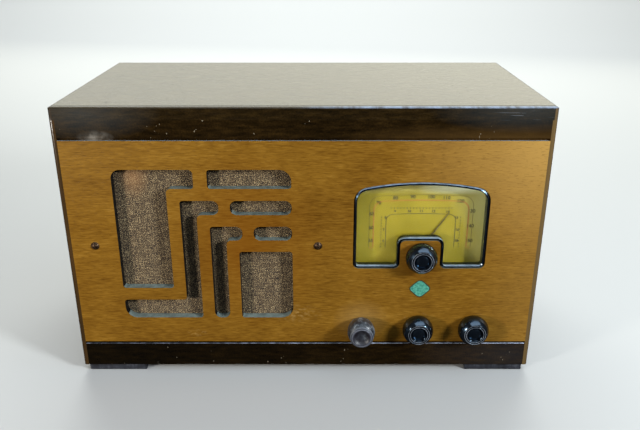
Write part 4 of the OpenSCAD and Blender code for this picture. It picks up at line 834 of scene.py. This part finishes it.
def lozenge_piece(name, thick, hollow, finish):
    """A rounded lozenge, or its outline, lying on the front panel."""
    mesh = bmesh.new()
    middle_x, middle_z, half_w, half_h = 116.5, 90.6, 12.4, 11.4
    corners = [(half_w, 0), (0, half_h), (-half_w, 0), (0, -half_h)]
    mesh.faces.new([mesh.verts.new((middle_x + x, -0.01, middle_z + z)) for x, z in corners])
    bmesh.ops.bevel(
        mesh,
        geom=list(mesh.verts),
        offset=4.5,
        segments=6,
        profile=0.5,
        affect="VERTICES",
        material=-1,
    )
    face = max(mesh.faces, key=lambda f: f.calc_area())
    if hollow:
        bmesh.ops.inset_individual(mesh, faces=[face], thickness=0.9, use_even_offset=True)
        bmesh.ops.delete(mesh, geom=[face], context="FACES")
    solid = bmesh.ops.extrude_face_region(mesh, geom=list(mesh.faces))
    moved = [v for v in solid["geom"] if isinstance(v, bmesh.types.BMVert)]
    bmesh.ops.translate(mesh, verts=moved, vec=(0, -thick, 0))
    return piece(name, mesh, finish)


lozenge_piece("lozenge_field", 0.12, False, lozenge)
lozenge_piece("lozenge_line", 0.18, True, line)

# The drive behind the dial is turned brass: a fixed ring, three steel balls in a cage, and the
# hub that they carry round at a sixth of the spindle's speed.
brass = Finish("turned_brass", Metallic=1.0)
lathe = brass.noise((300, 4000, 300), 2.0)
tarnish = brass.noise((90, 90, 90), 4.0)
brass.set(
    Base_Color=brass.ramp(
        tarnish, (0.35, rgb(150, 112, 52)), (0.55, rgb(196, 156, 84)), (0.75, rgb(118, 92, 60))
    ),
    Roughness=brass.span(lathe, 0.3, 0.7, 0.25, 0.45),
)
brass.bump(lathe, 0.00004)
brass.on("drive_housing", "drive_hub", "dial_lamps")

# Shafts, balls, nuts, bolts and screws are steel, turned or headed, with a thin dull plating.
turned = Finish("plated_steel", Metallic=1.0)
lathe = turned.noise((400, 3000, 400), 2.0)
film = turned.noise((150, 150, 150), 3.0)
turned.set(
    Base_Color=turned.ramp(
        film, (0.35, rgb(150, 150, 148)), (0.6, rgb(186, 186, 184)), (0.8, rgb(140, 130, 116))
    ),
    Roughness=turned.span(lathe, 0.3, 0.7, 0.22, 0.42),
)
turned.bump(lathe, 0.00003)
turned.on(
    "drive_spindle", "drive_balls", "volume_shaft", "tone_shaft", "band_shaft", "control_nuts",
    "chassis_bolts", "back_screws",
)

# The chassis, the dial's bracket, the capacitor's frame and the speaker's basket are pressed
# from cadmium-plated sheet that has gone dull, with rust freckles and finger marks.
sheet = Finish("dull_plated_sheet", Metallic=0.85)
cloudy = sheet.noise((22, 22, 22), 4.0)
freckle = sheet.noise((320, 320, 320), 3.0) > 0.68
rolled = sheet.noise((900, 30, 900), 2.0)
plate = sheet.ramp(
    cloudy, (0.3, rgb(126, 126, 122)), (0.5, rgb(158, 157, 150)), (0.7, rgb(184, 182, 172))
)
sheet.set(
    Base_Color=sheet.mix(freckle * (cloudy > 0.48) * 0.8, plate, rgb(112, 72, 44)),
    Roughness=sheet.span(cloudy, 0.3, 0.7, 0.36, 0.55) + freckle * 0.2,
)
sheet.bump(rolled * 0.5 + freckle * 0.5, 0.00005)
sheet.on("chassis", "dial_bracket", "capacitor_frame", "speaker_frame")

# The capacitor's plates are aluminium strip, the cans drawn aluminium: bare, with a white
# bloom and fine drawing lines round them.
bare = Finish("bare_aluminium", Metallic=1.0)
drawn = bare.noise((60, 60, 2200), 2.0)
white_rust = bare.noise((70, 70, 70), 4.0)
bare.set(
    Base_Color=bare.ramp(
        white_rust, (0.35, rgb(186, 188, 190)), (0.55, rgb(208, 210, 212)), (0.75, rgb(168, 168, 164))
    ),
    Roughness=bare.span(white_rust, 0.3, 0.7, 0.28, 0.5),
)
bare.bump(drawn, 0.00004)
bare.on("capacitor_stator", "capacitor_rotor", "shield_cans")

# The stators stand on bars of unglazed ceramic, cream and slightly soiled.
ceramic = Finish("unglazed_ceramic", Roughness=0.7)
soil = ceramic.noise((140, 140, 140), 4.0)
ceramic.set(Base_Color=ceramic.ramp(soil, (0.35, rgb(214, 204, 180)), (0.65, rgb(190, 176, 146))))
ceramic.bump(ceramic.noise((2500, 2500, 2500), 2.0), 0.00004)
ceramic.on("stator_insulators")

# The controls' bodies are punched from brown phenolic paper, with its fine crossed texture.
phenolic = Finish("phenolic_paper", Roughness=0.45)
fibres = phenolic.noise((260, 40, 1800), 3.0) * 0.5 + phenolic.noise((1800, 40, 260), 3.0) * 0.5
phenolic.set(
    Base_Color=phenolic.ramp(
        fibres, (0.35, rgb(96, 60, 28)), (0.5, rgb(126, 82, 42)), (0.65, rgb(150, 104, 58))
    )
)
phenolic.bump(fibres, 0.00006)
phenolic.on("volume_control", "tone_control", "band_switch")

# Sockets and the terminal strip are brown bakelite mouldings, mottled with wood flour.
brown = Finish("brown_bakelite", Coat_Weight=0.2, Coat_Roughness=0.1)
flour = brown.noise((600, 600, 600), 4.0)
brown.set(
    Base_Color=brown.ramp(
        flour, (0.35, rgb(52, 26, 14)), (0.5, rgb(78, 42, 24)), (0.7, rgb(112, 66, 40))
    ),
    Roughness=brown.span(flour, 0.3, 0.7, 0.22, 0.4),
)
brown.bump(flour, 0.00003)
brown.on("tube_sockets", "terminal_strip")

# The cone and its corrugated edge are moulded from black-dyed paper pulp, the fibres showing.
pulp = Finish("cone_paper", Roughness=0.85)
fibres = pulp.noise((900, 900, 900), 4.0)
blot = pulp.noise((60, 60, 60), 3.0)
pulp.set(
    Base_Color=pulp.ramp(
        fibres * 0.6 + blot * 0.4,
        (0.35, rgb(30, 28, 26)),
        (0.5, rgb(46, 43, 39)),
        (0.7, rgb(80, 74, 66)),
    )
)
pulp.bump(fibres, 0.0002)
pulp.on("speaker_cone", "cone_surround")

# The spider is linen stiffened with amber varnish, pressed in rings.
linen = Finish("varnished_linen", Roughness=0.5)
threads = linen.noise((1300, 200, 90), 1.0) * 0.5 + linen.noise((90, 200, 1300), 1.0) * 0.5
linen.set(
    Base_Color=linen.ramp(
        threads, (0.35, rgb(122, 84, 34)), (0.5, rgb(164, 122, 58)), (0.65, rgb(196, 158, 92))
    )
)
linen.bump(threads, 0.0001)
linen.on("spider")

# The voice coil is one layer of enamelled copper wire, its turns 0.5 mm apart.
copper = Finish("enamelled_copper", Metallic=0.9, Roughness=0.3)
turns = copper.node("TexWave", {"bands_direction": "Y"}, {"Vector": copper.place(), "Scale": 640.0}, 1)
shade = copper.noise((200, 200, 200), 2.0)
copper.set(
    Base_Color=copper.mix(
        turns * 0.6, copper.mix(shade, rgb(178, 96, 48), rgb(150, 74, 36)), rgb(92, 40, 20)
    )
)
copper.bump(turns, 0.0001)
copper.on("voice_coil")

# Each valve is a blown bulb cemented in a black base: silver getter on the bulb's crown, and
# a nickel anode with its grids and micas inside.


def getter(finish):
    """Silver film near the top of a bulb, thin at its lower edge."""
    height = finish.part(finish.place(), "Z") + finish.noise((60, 60, 60), 2.0) * 0.008
    large = finish.span(height, at(0, 0, 176).z, at(0, 0, 182).z)
    small = finish.span(height, at(0, 0, 162).z, at(0, 0, 168).z)
    rear = finish.part(finish.place(), "X")
    middle = (rear > at(-34, 0, 0).x) * (rear < at(12, 0, 0).x)
    left = (rear > at(-97, 0, 0).x) * (rear < at(-53, 0, 0).x)
    short = middle + left
    return small * short + large * (1 - short)


bulb = glass("valve_glass", getter, IOR=1.45)
bulb.on("rf_tube", "detector_tube", "output_tube", "rectifier_tube")

nickel = Finish("blackened_nickel", Metallic=0.6)
soot = nickel.noise((400, 400, 400), 3.0)
nickel.set(
    Base_Color=nickel.ramp(
        soot, (0.35, rgb(58, 58, 62)), (0.6, rgb(96, 96, 100)), (0.8, rgb(150, 150, 150))
    ),
    Roughness=nickel.span(soot, 0.3, 0.7, 0.4, 0.65),
)
nickel.bump(nickel.noise((2400, 2400, 300), 2.0), 0.00008)
nickel.on("tube_electrodes")

# The back is pressed fibre board, punched with rows of vents and smooth on its outer side,
# its edges scuffed. A black rubber grommet lines the hole for the mains cord.
fibre = Finish("fibre_board", Roughness=0.8)
felted = fibre.noise((700, 700, 700), 4.0)
stains = fibre.noise((9, 9, 9), 4.0)
fibre.set(
    Base_Color=fibre.ramp(
        felted * 0.55 + stains * 0.45,
        (0.35, rgb(74, 54, 36)),
        (0.5, rgb(100, 76, 50)),
        (0.65, rgb(130, 102, 70)),
    )
)
fibre.bump(felted, 0.0001)
fibre.on("back_cover")

rubber = Finish("black_rubber", Roughness=0.7)
perished = rubber.noise((500, 500, 500), 3.0)
rubber.set(Base_Color=rubber.ramp(perished, (0.4, rgb(20, 20, 20)), (0.7, rgb(50, 48, 45))))
rubber.bump(perished, 0.0001)
rubber.on("cord_grommet")
